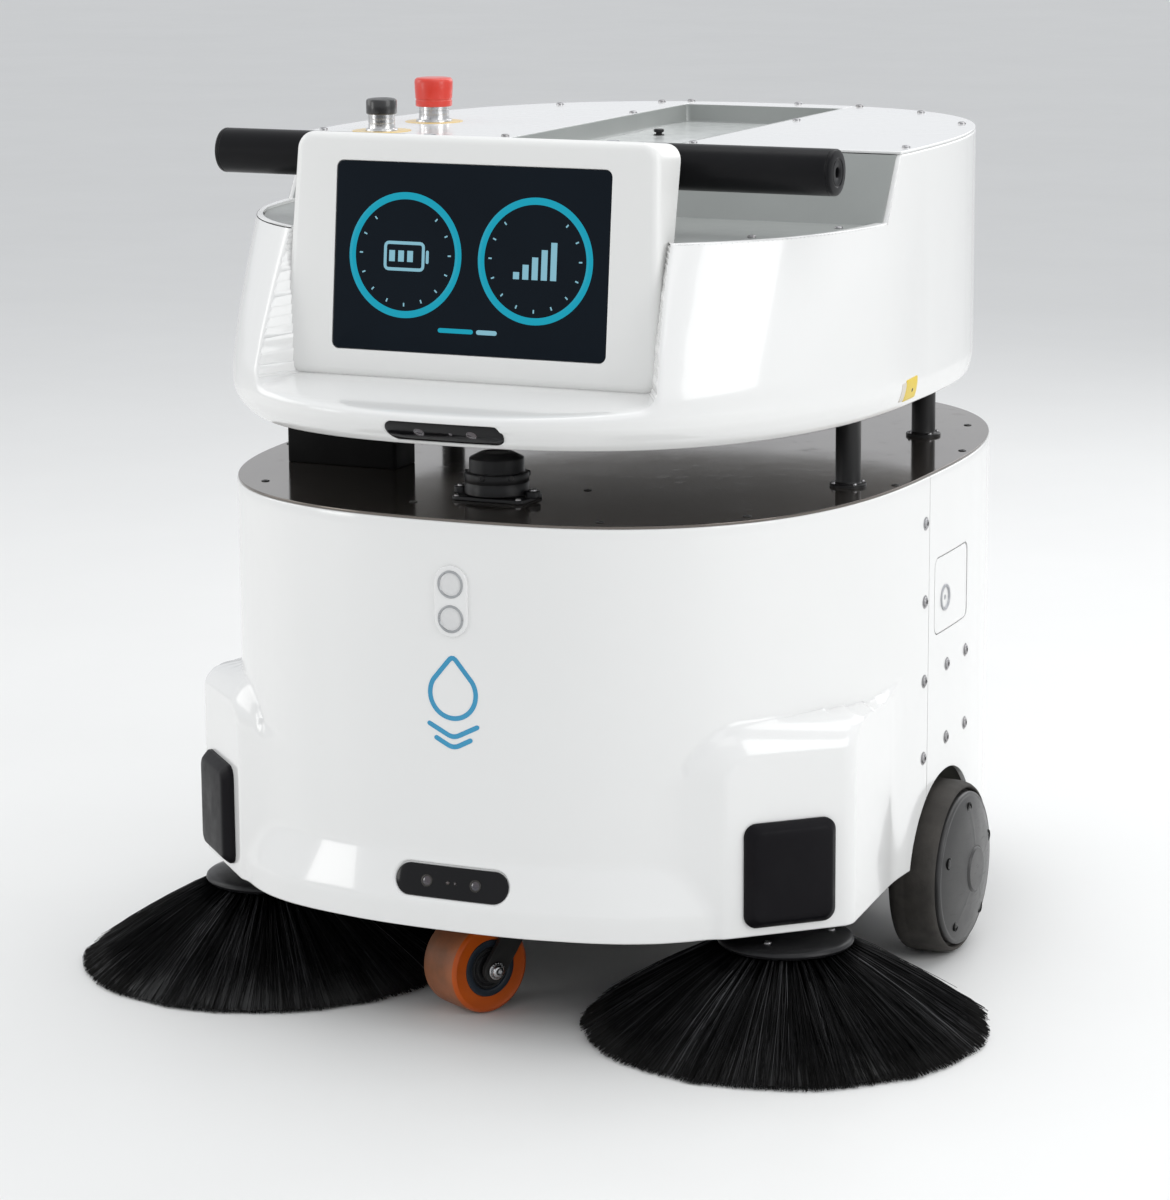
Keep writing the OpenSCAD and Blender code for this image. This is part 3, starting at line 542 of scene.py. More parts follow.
def soft_relu(x, softness):
    return 0.5 * (x + np.sqrt(x * x + softness * softness))


def soft_min(a, b, blend):
    share = np.clip(0.5 + 0.5 * (b - a) / blend, 0, 1)
    return b * (1 - share) + a * share - blend * share * (1 - share)


def soft_max(a, b, blend):
    return -soft_min(-a, -b, blend)


def smoothstep(x, start, end):
    t = np.clip((x - start) / (end - start), 0, 1)
    return t * t * (3 - 2 * t)


def superellipse(theta, side, front, rear, power):
    cosine, sine = np.cos(theta), np.sin(theta)
    depth = np.where(sine < 0, front, rear)
    return (np.abs(cosine / side) ** power + np.abs(sine / depth) ** power) ** (-1.0 / power)


def bisect(is_below, low, high, steps):
    """Close in on the place where is_below turns false."""
    for _ in range(steps):
        middle = 0.5 * (low + high)
        below = is_below(middle)
        low = np.where(below, middle, low)
        high = np.where(below, high, middle)
    return 0.5 * (low + high)


BODY_SIDE, BODY_FRONT, BODY_REAR, BODY_POWER = 354.0, 427.0, 490.0, 2.65
LEFT_EXTRA = 11.0  # the left side stands this much further out


def plan_radius(theta, z=0.0, flare=0.0):
    side = BODY_SIDE + LEFT_EXTRA * (np.cos(theta) < 0)
    return superellipse(theta, side, BODY_FRONT + flare, BODY_REAR, BODY_POWER)


def body_radius(theta, z):
    """Plan shape with a skirt that flares below z = 188 at the front."""
    flare = (soft_relu(188 - z, 2.2) - soft_relu(140 - z, 2.2)) / 48.0
    flare = flare * (13.0 + 9.0 * smoothstep(np.abs(np.cos(theta)), 0.25, 0.55))
    flare = flare * smoothstep(-np.sin(theta), 0.15, 0.70)
    return plan_radius(theta, z, flare)


def pod_field(x, y, z):
    """Negative inside the pods that bulge diagonally from the two front corners."""
    left = x < 0
    x = np.abs(x)
    outward = (x - y) * DIAGONAL
    along = (x + y) * DIAGONAL  # grows sideways and rearward
    face, inner = np.where(left, 381.3, 376.7), np.where(left, 10.2, 5.6)
    slope = np.where(left, 0.414, 0.455)
    # Rounded corner between the inner side and the top
    corner = 28.0
    side_gap, top_gap = inner - along + corner, z - 299.0 + corner
    side_out, top_out = np.maximum(side_gap, 0), np.maximum(top_gap, 0)
    distance = (np.hypot(side_out, top_out)
                + np.minimum(np.maximum(side_gap, top_gap), 0) - corner)
    top_share = top_out ** 2 / (side_out ** 2 + top_out ** 2 + 1e-6)
    beyond = soft_relu(distance, 2.5)
    # The top rolls over within this height, which shrinks rearward.
    rise = np.where(left, np.clip(34.0 - 0.15 * (along - 35.0), 5.0, 34.0),
                    np.clip(36.0 - 0.10 * (along - 35.0), 10.0, 37.0))
    roll = -13.0 * np.log(np.clip(1.0 - beyond / rise, 1e-3, 1.0))
    roll = roll + 3.0 * soft_relu(beyond - rise, 1.0)
    ramp = beyond * slope * (1 - top_share) + roll * top_share
    front = (outward - face + ramp) / (1.09 * (1 - top_share) + 1.5 * top_share)
    rear = ((outward - face) + 1.21 * (along - inner - 137.6)) / 1.57
    inner_limit = np.where(left, 150.0, 178.0)
    return soft_max(front, rear, 8.0) + 0.6 * soft_relu(inner_limit - x, 6)


def sink_window(radius, theta, z, centre, half_straight, end_radius, depth, fade):
    """Recess a stadium shape, centred at (x, z), into the front."""
    x = radius * np.cos(theta)
    outside = np.hypot(np.maximum(np.abs(x - centre[0]) - half_straight, 0), z - centre[1])
    outside = np.where(np.sin(theta) < 0, outside - end_radius, 99.0)
    return radius - depth * smoothstep(-outside, *fade)


CAMERA_X, CAMERA_Z = 6.0, 162.0


def front_radius(theta, z):
    """Body joined with the corner pods, with the camera window sunk in."""
    body = body_radius(theta, z)
    cosine, sine = np.cos(theta), np.sin(theta)

    def inside(radius):
        pods = pod_field(radius * cosine, CENTRE_Y + radius * sine, z)
        return soft_min(radius - body, pods, 4.0) < 0

    radius = bisect(inside, body * 0.75, np.full_like(body, 560.0), 34)
    return sink_window(radius, theta, z, (CAMERA_X, CAMERA_Z), half_straight=46.5,
                       end_radius=17.0, depth=3.2, fade=(-1.4, 1.0))


# Head sections: height, front reach, half width at the front, half width at the rear
HEAD_Z, HEAD_FRONT, HEAD_SIDE, HEAD_SIDE_REAR = np.array([
    (600.0, 439.0, 337.0, 336.0),
    (605.0, 444.0, 340.0, 338.0),
    (611.0, 451.5, 344.5, 340.0),
    (620.0, 460.5, 349.5, 342.0),
    (630.0, 467.5, 352.5, 343.0),
    (640.0, 470.5, 353.2, 343.0),
    (652.0, 470.0, 353.3, 343.0),
    (680.0, 461.0, 352.8, 343.0),
    (735.0, 434.0, 351.0, 343.0),
    (800.0, 397.0, 347.0, 343.0),
    (868.0, 352.0, 343.0, 343.0),
]).T
HEAD_TOP = HEAD_Z[-1]
TOP_SIDE, TOP_FRONT = HEAD_SIDE[-1], HEAD_FRONT[-1]
HEAD_REAR, HEAD_POWER = 449.0, 2.55


def smooth_interp(z, xs, ys):
    """Monotone cubic through the rows."""
    width = np.diff(xs)
    slope = np.diff(ys) / width
    tangent = np.zeros_like(ys)
    tangent[0], tangent[-1] = slope[0], slope[-1]
    for i in range(1, len(ys) - 1):
        if slope[i - 1] * slope[i] > 0:
            w1, w2 = 2 * width[i] + width[i - 1], width[i] + 2 * width[i - 1]
            tangent[i] = (w1 + w2) / (w1 / slope[i - 1] + w2 / slope[i])
    k = np.clip(np.searchsorted(xs, z) - 1, 0, len(xs) - 2)
    t = (z - xs[k]) / width[k]
    return ((2 * t ** 3 - 3 * t ** 2 + 1) * ys[k]
            + (t ** 3 - 2 * t ** 2 + t) * width[k] * tangent[k]
            + (-2 * t ** 3 + 3 * t ** 2) * ys[k + 1]
            + (t ** 3 - t ** 2) * width[k] * tangent[k + 1])


def head_radius(theta, z):
    front = smoothstep(-np.sin(theta), -0.05, 0.40)
    side = (smooth_interp(z, HEAD_Z, HEAD_SIDE_REAR) * (1 - front)
            + smooth_interp(z, HEAD_Z, HEAD_SIDE) * front)
    return superellipse(theta, side, smooth_interp(z, HEAD_Z, HEAD_FRONT), HEAD_REAR,
                        HEAD_POWER)


# The screen has its own frame: x across, y into the head, z up its tilted face.
TILT_COS, TILT_SIN = math.cos(math.radians(6.0)), math.sin(math.radians(6.0))
SCREEN_Y, SCREEN_Z = -266.0, 776.0
SCREEN_HALF_H = 121.0
BACK_SLOPE = 48.0 / 242.0  # the housing deepens upward


def to_screen(x, y, z):
    y, z = y - SCREEN_Y, z - SCREEN_Z
    return x, y * TILT_COS - z * TILT_SIN, y * TILT_SIN + z * TILT_COS


def from_screen(points):
    x, y, z = np.asarray(points, float).reshape(-1, 3).T
    return np.stack([x, y * TILT_COS + z * TILT_SIN + SCREEN_Y,
                     -y * TILT_SIN + z * TILT_COS + SCREEN_Z], 1)


def pocket_field(x, y, z):
    """Negative inside the recess round the screen."""
    x, y, z = to_screen(x, y, z)
    back = y - (13.5 + (z + SCREEN_HALF_H) * BACK_SLOPE)
    half_width = (np.where(x < 0, 205.5, 210.0) - 0.030 * (z + SCREEN_HALF_H)
                  + np.where(x < 0, 0.13, 0.20) * soft_relu(-y, 12))
    sides = np.abs(x) - half_width
    floor_gap = (-122.0 + 0.285 * np.minimum(y, 12.0)) - z
    return soft_max(soft_max(back, sides, 6.0), floor_gap, 16.0)


CHIN_X, CHIN_Z = 17.5, 620.0


def carved_head_radius(theta, z):
    """Head surface with the screen recess and the chin window cut in."""
    outer = head_radius(theta, z)
    cosine, sine = np.cos(theta), np.sin(theta)

    def inside(radius):
        pocket = pocket_field(radius * cosine, CENTRE_Y + radius * sine, z)
        return soft_max(radius - outer, -pocket, 9.0) < 0

    # March inward to the first solid point, then refine.
    start, stride = outer + 6.0, 2.2
    found = np.zeros(outer.shape, bool)
    low, high = start.copy(), start.copy()
    for k in range(70):
        radius = start - stride * (k + 1)
        solid = inside(radius)
        new = solid & ~found
        low = np.where(new, radius, low)
        high = np.where(new, radius + stride, high)
        found |= solid
    low = np.where(found, low, outer - 150)
    high = np.where(found, high, outer - 148)
    return sink_window(bisect(inside, low, high, 16), theta, z, (CHIN_X, CHIN_Z),
                       half_straight=52.5, end_radius=10.6, depth=2.4, fade=(-0.6, 0.6))


def shell(theta, levels, radius, z0, z1, wall=4.0, rounding=1.6, inner=10, closed=False,
          top=None, z_rim=None):
    """Wall with rounded rims; top(theta) moves the rim by stretching the rows above z_rim."""
    quarter = [math.pi / 2 * i / 3 for i in range(4)]
    rows = [(z0 + rounding * (1 - math.cos(a)), rounding * (1 - math.sin(a))) for a in quarter]
    rows += [(z, 0.0) for z in levels if z0 + rounding + 0.05 < z < z1 - rounding - 0.05]
    rows += [(z1 - rounding + rounding * math.sin(a), rounding * (1 - math.cos(a)))
             for a in quarter]
    heights, inset = np.array(rows).T[:, :, None]
    count = len(theta)
    z = np.repeat(heights, count, 1)
    if top is not None:
        rim = top(theta)[None, :]
        z = np.where(z > z_rim, z_rim + (z - z_rim) * (rim - z_rim) / (z1 - z_rim), z)
        # Keep the round of the rim at its true size.
        for row, a in zip(range(-4, 0), quarter):
            z[row] = rim[0] - rounding + rounding * math.sin(a)
    outer = radius(np.repeat(theta[None, :], len(rows), 0), z) - inset
    inner_z = z0 + np.linspace(1, 0, inner)[:, None] * (z[-1][None, :] - z0)
    inner_radius = np.repeat((outer.min(0) - wall)[None, :], inner, 0)
    z, r = np.concatenate([z, inner_z]), np.concatenate([outer, inner_radius])
    angle = np.repeat(theta[None, :], len(z), 0)
    verts = np.stack([r * np.cos(angle), CENTRE_Y + r * np.sin(angle), z], -1)
    faces = grid_faces(len(z), count, close_rows=True, close_cols=closed)
    if not closed:
        faces.append(tuple(i * count for i in range(len(z))))
        faces.append(tuple(i * count + count - 1 for i in reversed(range(len(z)))))
    return verts.reshape(-1, 3), faces


def spread(*spans):
    """Joined rows of values; each span is (start, end, step)."""
    values = []
    for start, end, step in spans:
        count = max(1, int(round(abs(end - start) / step)))
        values += list(np.linspace(start, end, count + 1)[:-1])
    return np.array(values + [spans[-1][1]])


def side_cutter(x0, x1, y0, y1, z0, z1, radius):
    """Rounded block running along X."""
    outline = round_rect((y1 - y0) / 2, (z1 - z0) / 2, radius, 8, 1)
    return loft([np.c_[np.full(len(outline), x), outline[:, 0] + (y0 + y1) / 2,
                       outline[:, 1] + (z0 + z1) / 2] for x in (x0, x1)])


def rear_cutter(y0, y1, half_width, z0, z1, radius):
    """Rounded block running along Y."""
    outline = round_rect(half_width, (z1 - z0) / 2, radius, 8, 1)
    return loft([level_xz(outline, y, (0.0, (z0 + z1) / 2)) for y in (y0, y1)])


# ---------------------------------------------------------------- lower body

SHELL_BOTTOM, SHELL_TOP = 114.0, 527.0
WHEEL_Y = 150.0
arch_cutters = [lathe([(0, x0), (110.5, x0), (110.5, x1), (0, x1)], axis=(1, 0, 0),
                      origin=(0, WHEEL_Y, 90), seg=180) for x0, x1 in ((296, 430), (-430, -296))]

# Front shell: fine angle steps over the pods and the camera window
seam = math.degrees(math.asin((89.5 - CENTRE_Y) / BODY_SIDE))
theta = np.radians(spread(
    (seam, -8, 0.5), (-8, -66, 0.42), (-66, -80.2, 0.55), (-80.2, -99.8, 0.17),
    (-99.8, -114, 0.55), (-114, -172, 0.42), (-172, -180 - seam, 0.5)))
levels = spread((SHELL_BOTTOM, 131, 2.2), (131, 183, 1.1), (183, 200, 2.2), (200, 260, 5),
                (260, 345, 2.6), (345, SHELL_TOP, 12))
mesh = shell(theta, levels, front_radius, SHELL_BOTTOM, SHELL_TOP)
front = put("front_shell_moulding", mesh, "chassis", "shell_white",
            "front_shell", 32)
boolean(front, arch_cutters)

# Rear shell; the side door and the rear fascia are cut from the same wall.
seam = math.degrees(math.asin((90.5 - CENTRE_Y) / BODY_SIDE))
theta = np.radians(spread((seam, 180 - seam, 0.6)))
mesh = shell(theta, spread((SHELL_BOTTOM, SHELL_TOP, 9)), plan_radius, SHELL_BOTTOM, SHELL_TOP)
rear = put("rear_shell_moulding", mesh, "chassis", "shell_white",
           "rear_shell", 32)
door = put("service_door_panel", mesh, "door", "shell_white",
           "service_door", 32)
fascia = put("hopper_fascia", mesh, "hopper", "shell_white", angle=32)
boolean(rear, arch_cutters + [side_cutter(300, 400, 107, 222, 353, 436, 11),
                              rear_cutter(400, 640, 200, 122, 322, 16)])
boolean(door, [side_cutter(300, 400, 108.2, 217.8, 354.2, 434.8, 10)], "INTERSECT")
boolean(fascia, [rear_cutter(400, 640, 198, 124, 320, 14)], "INTERSECT")
boolean(fascia, [rear_cutter(400, 640, 72, 270, 302, 12)])

# Open bin behind the fascia; rows: inset, height
part = Part()
part.add(loft([level_xy(round_rect(164 - inset, 65 - inset, 8 - inset, 5, 2), z, (0, 459))
               for inset, z in ((3, 126), (0, 129), (0, 315), (0.4, 316), (2.6, 316),
                                (3, 315), (3, 132), (6, 129))]))
part.put("hopper_bin", "hopper", "inner_plastic", "hopper_white", "dust_hopper")

# Grip pocket in the fascia: inner and outer skin; rows: inset, depth
part = Part()
for rows in (((0, 580), (0, 548), (3, 542)), ((0, 580), (-1.2, 579), (-1.2, 546), (3, 539))):
    part.add(loft([level_xz(round_rect(71.6 - inset, 15.6 - inset, 12 - inset, 8, 3), y,
                            (0, 286)) for inset, y in rows], cap_first=False))
part.put("hopper_grip_pocket", "hopper", "inner_plastic", "hopper_white")


# ---------------------------------------------------------------- conforming pieces

def lift_off(point_at, across, z, height):
    """Points at a height off the surface point_at(across, z)."""
    normal = np.cross(point_at(across + 1, z) - point_at(across - 1, z),
                      point_at(across, z + 1) - point_at(across, z - 1))
    normal /= np.linalg.norm(normal, axis=1)[:, None]
    return point_at(across, z) + normal * height[:, None]


def polar_point(radius, theta, z):
    r = radius(theta, z)
    return np.stack([r * np.cos(theta), CENTRE_Y + r * np.sin(theta), z], -1)


def conform(radius, points):
    """Carry (x, z, height off the surface) rows onto the front of a shell."""
    def point_at(x, z):
        theta = bisect(lambda angle: radius(angle, z) * np.cos(angle) < x,
                       np.full(x.shape, math.radians(-172)),
                       np.full(x.shape, math.radians(-8)), 40)
        return polar_point(radius, theta, z)

    x, z, height = np.asarray(points, float).reshape(-1, 3).T
    return lift_off(point_at, x, z, height)


def conform_head_side(points):
    """Carry (y, z, height off the surface) rows onto the head's right side."""
    def point_at(y, z):
        theta = bisect(lambda angle: CENTRE_Y + head_radius(angle, z) * np.sin(angle) < y,
                       np.full(y.shape, math.radians(-60)),
                       np.full(y.shape, math.radians(60)), 40)
        return polar_point(head_radius, theta, z)

    y, z, height = np.asarray(points, float).reshape(-1, 3).T
    return lift_off(point_at, y, z, height)


def stadium(width, height, end_steps=16, straight_steps=12):
    radius = height / 2
    half = width / 2 - radius
    run = [2 * half * i / straight_steps for i in range(1, straight_steps)]
    points = arc(half, 0, radius, -90, 90, end_steps) + [(half - x, radius) for x in run]
    points += arc(-half, 0, radius, 90, 270, end_steps) + [(-half + x, -radius) for x in run]
    return np.array(points)


def plate(outline, centre_z, base, top, edge):
    """Plate on the body front with a rounded edge; its face is made of shrinking loops."""
    extent = np.abs(outline).max(0)
    rows = [(0, base), (0, top - edge)]
    rows += [(edge * (1 - math.cos(a)), top - edge + edge * math.sin(a))
             for a in np.radians([30, 60, 90])]
    rings = [level_xy(outline * (1 - inset / extent), height) for inset, height in rows]
    face = outline * (1 - rows[-1][0] / extent)
    rings += [level_xy(face * scale, top) for scale in (0.8, 0.55, 0.3, 0.1)]
    verts, faces = loft(rings)
    verts[:, 1] += centre_z
    return conform(body_radius, verts), faces


def ribbon(path, width, height, closed=False, edge=0.25, base=0.0, taper=True):
    """Raised ribbon along a 2D path, as (x, z, height) points; taper rounds its ends."""
    path = np.asarray(path, float)
    if closed:
        tangent = np.roll(path, -1, 0) - np.roll(path, 1, 0)
    else:
        tangent = np.gradient(path, axis=0)
    tangent /= np.linalg.norm(tangent, axis=1)[:, None] + 1e-9
    normal = np.stack([-tangent[:, 1], tangent[:, 0]], 1)
    half = np.full(len(path), width / 2)
    if not closed and taper:
        angles = np.radians([80, 55, 30])
        start = [path[0] - tangent[0] * math.sin(a) * width / 2 for a in angles]
        end = [path[-1] + tangent[-1] * math.sin(a) * width / 2 for a in angles[::-1]]
        narrow = np.cos(angles) * width / 2
        path = np.concatenate([start, path, end])
        normal = np.concatenate([np.repeat(normal[:1], 3, 0), normal,
                                 np.repeat(normal[-1:], 3, 0)])
        half = np.concatenate([narrow, half, narrow[::-1]])
    shoulder = 1 - 2 * edge / width
    rows = ((-1, base), (-shoulder, height), (0, height), (shoulder, height), (1, base))
    verts = np.stack([level_xy(path + normal * (half * side)[:, None], level)
                      for side, level in rows], 1).reshape(-1, 3)
    faces = grid_faces(len(path), 5, close_rows=closed, close_cols=True)
    if not closed:
        last = (len(path) - 1) * 5
        faces.append((4, 3, 2, 1, 0))
        faces.append(tuple(range(last, last + 5)))
    return verts, faces


def round_corners(points, radius, steps=6, closed=False):
    points = [np.asarray(point, float) for point in points]
    count = len(points)
    path = [] if closed else [points[0]]
    for i in range(count) if closed else range(1, count - 1):
        before, corner, after = points[i - 1], points[i], points[(i + 1) % count]
        length_in, length_out = (np.linalg.norm(before - corner),
                                 np.linalg.norm(after - corner))
        back, ahead = (before - corner) / length_in, (after - corner) / length_out
        angle = math.acos(max(-1, min(1, float(back @ ahead))))
        cut = min(radius / math.tan(angle / 2), 0.49 * length_in, 0.49 * length_out)
        start, end = corner + back * cut, corner + ahead * cut
        for k in range(steps + 1):
            t = k / steps
            path.append((1 - t) ** 2 * start + 2 * t * (1 - t) * corner + t * t * end)
    if not closed:
        path.append(points[-1])
    return np.array(path)


def resample(path, spacing, closed=False):
    path = np.asarray(path, float)
    if closed:
        path = np.r_[path, path[:1]]
    run = np.r_[0, np.cumsum(np.linalg.norm(np.diff(path, axis=0), axis=1))]
    stations = np.linspace(0, run[-1], max(2, int(run[-1] / spacing)) + 1)
    points = np.c_[np.interp(stations, run, path[:, 0]), np.interp(stations, run, path[:, 1])]
    return points[:-1] if closed else points


# Oval plate with two round sensors, one above the other
SENSOR_X = 8.0
PLATE_TOP = 2.6
part = Part()
part.add(plate(stadium(72, 36)[:, ::-1] + np.array([SENSOR_X, 0.0]), centre_z=448, base=-1.0,
               top=PLATE_TOP, edge=1.0))
part.put("sensor_oval_plate", "chassis", "panel_white", "shell_white", "sensor_bezel")
part = Part()
sensor_ring = [(13.9, -1.2), (13.9, 0.5), (13.5, 0.9), (11.9, 0.9), (11.5, 0.5), (11.3, -0.2),
               (11.0, -0.6), (11.0, -1.2)]
sensor_face = [(11.0, -1.0), (11.0, -0.1), (10.6, 0.15), (7.5, 0.15), (7.2, 0.05), (0, 0.05)]
for z in (430.4, 465.2):
    centre = conform(body_radius, [(SENSOR_X, z, PLATE_TOP)])[0]
    for material, profile in enumerate((sensor_ring, sensor_face)):
        part.add(lathe(profile, axis=(0, -1, 0), origin=centre, seg=72), material)
part.put("ultrasonic_faces", "chassis", "sensor_grey sensor_face", "sensor_grey",
         "ultrasonic_sensors")

# Front camera window
WINDOW_TOP = -1.1
part = Part()
part.add(plate(stadium(124.5, 31.5) + np.array([CAMERA_X, 0.0]), centre_z=CAMERA_Z, base=-5.0,
               top=WINDOW_TOP, edge=1.2))
part.put("front_camera_window", "chassis", "window_black", "black_plastic",
         "front_camera_bezel")
part = Part()
for offset, r in ((-27, 6.2), (27, 6.2), (-3.5, 2.2), (4.5, 1.8)):
    x = offset + CAMERA_X
    base, above = conform(body_radius, [(x, CAMERA_Z, WINDOW_TOP), (x, CAMERA_Z, 1.0)])
    rim = [(r, -1.5), (r, 0.3), (r * 0.94, 0.55), (r * 0.80, 0.55), (r * 0.74, 0.2)]
    lens = [(r * 0.76, -0.6), (r * 0.74, 0.1), (r * 0.55, 0.55), (r * 0.3, 0.8), (0, 0.9)]
    for material, profile in enumerate((rim, lens)):
        part.add(lathe(profile, axis=above - base, origin=base, seg=48), material)
part.put("front_camera_lenses", "chassis", "lens_ring lens_glass", "lens", "camera_lenses")

# Blue mark: a drop over two chevrons
MARK_WIDTH, MARK_HEIGHT, MARK_BASE = 5.2, 0.45, -0.3
part = Part()
drop = [(SENSOR_X + 25.0 * math.cos(a), 354.5 + 25.0 * math.sin(a))
        for a in np.linspace(math.radians(148), math.radians(392), 44)]
drop.append((SENSOR_X, 393.0))
strokes = [(resample(round_corners(drop, 5.0, closed=True), 2.0, closed=True), True)]
for z, half, dip in ((322.5, 26.0, 13.0), (308.5, 18.5, 9.5)):
    chevron = [(SENSOR_X - half, z), (SENSOR_X, z - dip), (SENSOR_X + half, z)]
    strokes.append((resample(round_corners(chevron, 14.0, 10), 2.0), False))
for path, closed in strokes:
    verts, faces = ribbon(path, MARK_WIDTH, MARK_HEIGHT, closed=closed, base=MARK_BASE)
    part.add((conform(body_radius, verts), faces))
part.put("front_mark", "chassis", "mark_blue", "shell_white", angle=60)

# Corner pads on the pods; rows: inset, height off the pod, corner radius
PAD_ROWS = ((0, -1.5, 13), (0, 3.2, 13), (0.35, 4.0, 13), (1.6, 5.6, 12.5), (5.2, 9.8, 11),
            (6.8, 11.2, 10), (8.6, 11.9, 9), (13, 12.4, 7), (30, 12.9, 4))
part = Part()
for side, pad_x in ((1, 318.9), (-1, 325.4)):
    centre = np.array([pad_x, -213.84, 176.6])
    outward = np.array([DIAGONAL, -DIAGONAL, 0])
    across = np.array([DIAGONAL, DIAGONAL, 0])
    rings = []
    for inset, height, radius in PAD_ROWS:
        outline = round_rect(48.8 - inset, 53.2 - inset, radius, 7, 6)
        ring = (centre + outline[:, 0:1] * across + outline[:, 1:2] * np.array([0, 0, 1.0])
                + outward * height)
        ring[:, 0] *= side
        rings.append(ring)
    part.add(loft(rings))
part.put("corner_pads", "chassis", "black_rubber", "black_rubber", "bumper_pads", angle=50)

# ---------------------------------------------------------------- deck

DECK_TOP = 529.8
part = Part()
theta = np.linspace(0, 2 * np.pi, 320, endpoint=False)
radius = plan_radius(theta) - 0.9
outline = np.c_[radius * np.cos(theta), CENTRE_Y + radius * np.sin(theta)]
part.add(prism(outline, 527.1, DECK_TOP, 0.6, 3))
part.put("deck_top", "chassis", "deck_dark", "deck_dark", "deck_plate")

# Four posts under the head, each with a screwed foot
POST_PROFILE = [
    (0, 529.6), (19, 529.6), (19, 532.4), (18.4, 533), (14.2, 533.2), (13.3, 534.0),
    (13, 535.5), (13, 599), (13.6, 600), (15.2, 600.6), (15.2, 606.5), (0, 606.5)]
part = Part()
for x, y in ((300, -8), (-300, -8), (265, 316), (-290, 272)):
    part.add(lathe(POST_PROFILE, origin=(x, y, 0), seg=56))
    for k in range(4):
        a = math.pi / 4 + k * math.pi / 2
        foot = (x + 16.2 * math.cos(a), y + 16.2 * math.sin(a), 532.8)
        part.add(screw_head(foot, (0, 0, 1), 2.2, 2.0, a), 1)
part.put("head_post_turnings", "chassis", "frame_black screw_steel", "frame_black",
         "head_posts")


def block(x0, x1, y0, y1, z0, z1, radius, edge):
    """Upright rounded box with softened top and bottom edges."""
    rows = ((edge, z0), (0, z0 + edge), (0, z1 - edge), (edge * 0.3, z1 - edge * 0.35),
            (edge, z1))
    return loft([level_xy(round_rect((x1 - x0) / 2 - inset, (y1 - y0) / 2 - inset,
                                     max(radius - inset, 0.4), 5, 2),
                          z, ((x0 + x1) / 2, (y0 + y1) / 2)) for inset, z in rows])


# Cable duct: black plastic, made darker still as painted shade from the head above it.
part = Part()
part.add(block(-300, -171, -102, -54, 529.4, 606.4, 4, 1.2))
part.put("cable_duct_box", "chassis", "matte_black", "black_plastic", "cable_duct")

# Scanner bracket and the turned scanner on it
SCANNER_Y = -210
part = Part()
part.add(block(-40, 40, SCANNER_Y - 26, SCANNER_Y + 26, 529.6, 533.6, 6, 0.8))
for side in (-1, 1):
    x = side * 40
    part.add(block(x - 7, x + 7, SCANNER_Y - 7, SCANNER_Y + 7, 533, 540, 5, 1.0))
    part.add(screw_head((x, SCANNER_Y, 539.8), (0, 0, 1), 4.0, 2.6), 1)
    for y in (SCANNER_Y - 22, SCANNER_Y + 22):
        part.add(screw_head((side * 34, y, 533.4), (0, 0, 1), 3.0, 2.0), 1)
part.put("scanner_bracket", "chassis", "black_plastic screw_steel", "black_plastic",
         "lidar_bracket")
part = Part()
part.add(lathe([
    (0, 535.6), (31.8, 535.6), (32.6, 536.4), (32.7, 546), (32.1, 547), (32.1, 548),
    (32.7, 549), (32.7, 556.4), (32.0, 557.4), (28.8, 557.8), (28.0, 558.8), (27.8, 571),
    (27.2, 572.2), (18.2, 576.6), (16.8, 577.2), (12, 577.4), (11.4, 576.8), (0, 576.8)],
    origin=(0, SCANNER_Y, 0)))
for a in (0.5, 1.9, 3.3, 4.7, 5.6):
    part.add(lathe([(0, -3), (3.0, -3), (3.0, 0.8), (2.4, 1.4), (0, 1.4)],
                   axis=(math.cos(a), math.sin(a), 0), seg=18,
                   origin=(32.4 * math.cos(a), SCANNER_Y + 32.4 * math.sin(a), 555)))
part.put("scanner_head", "chassis", "black_plastic window_black", "black_plastic",
         "lidar_scanner")

# ---------------------------------------------------------------- head

# Fine angle steps at the chin window and at the sides of the screen recess
theta = np.radians(spread(
    (-90, -82, 0.22), (-82, -70, 0.9), (-70, -56, 0.17), (-56, 0, 0.8), (0, 180, 1.2),
    (180, 236, 0.8), (236, 250, 0.17), (250, 262, 0.9), (262, 270, 0.22)))[:-1]
levels = spread((605, 611, 1.0), (611, 632, 1.05), (632, 668, 1.4), (668, 776, 5.0),
                (776, 865, 3.0))


def head_rim(theta):
    """Rim height: low round the front recess, rising over the sloping side to the top."""
    y = CENTRE_Y + head_radius(theta, np.full_like(theta, 800.0)) * np.sin(theta)
    return 800.0 + 65.0 * np.clip((y + 12.0) / 38.0, 0, 1)


mesh = shell(theta, levels, carved_head_radius, 605.0, 865.0, wall=4.5, rounding=1.9, inner=8,
             closed=True, top=head_rim, z_rim=776.0)
put("head_moulding", mesh, "chassis", "shell_white", "head_shell", 40)

# Chin window and its lenses; rows: scale, height off the surface
part = Part()
outline = stadium(125.5, 20.6)
verts, faces = loft([
    level_xy(outline * scale, height, (CHIN_X, CHIN_Z)) for scale, height in
    ((1.0, -4.0), (1.0, -0.7), (0.985, -0.25), (0.96, -0.1), (0.75, -0.1), (0.4, -0.1),
     (0.1, -0.1))])
part.add((conform(head_radius, verts), faces))
for x, r in ((-8, 5.4), (48, 5.4), (26, 2.0)):
    base, above = conform(head_radius, [(x, CHIN_Z, -0.15), (x, CHIN_Z, 1.0)])
    part.add(lathe([(r, -0.6), (r, 0.2), (r * 0.85, 0.4), (r * 0.75, 0.1), (r * 0.4, 0.45),
                    (0, 0.6)], axis=above - base, origin=base, seg=36), 1)
part.put("chin_camera_window", "chassis", "window_black lens_glass", "lens", "chin_camera")

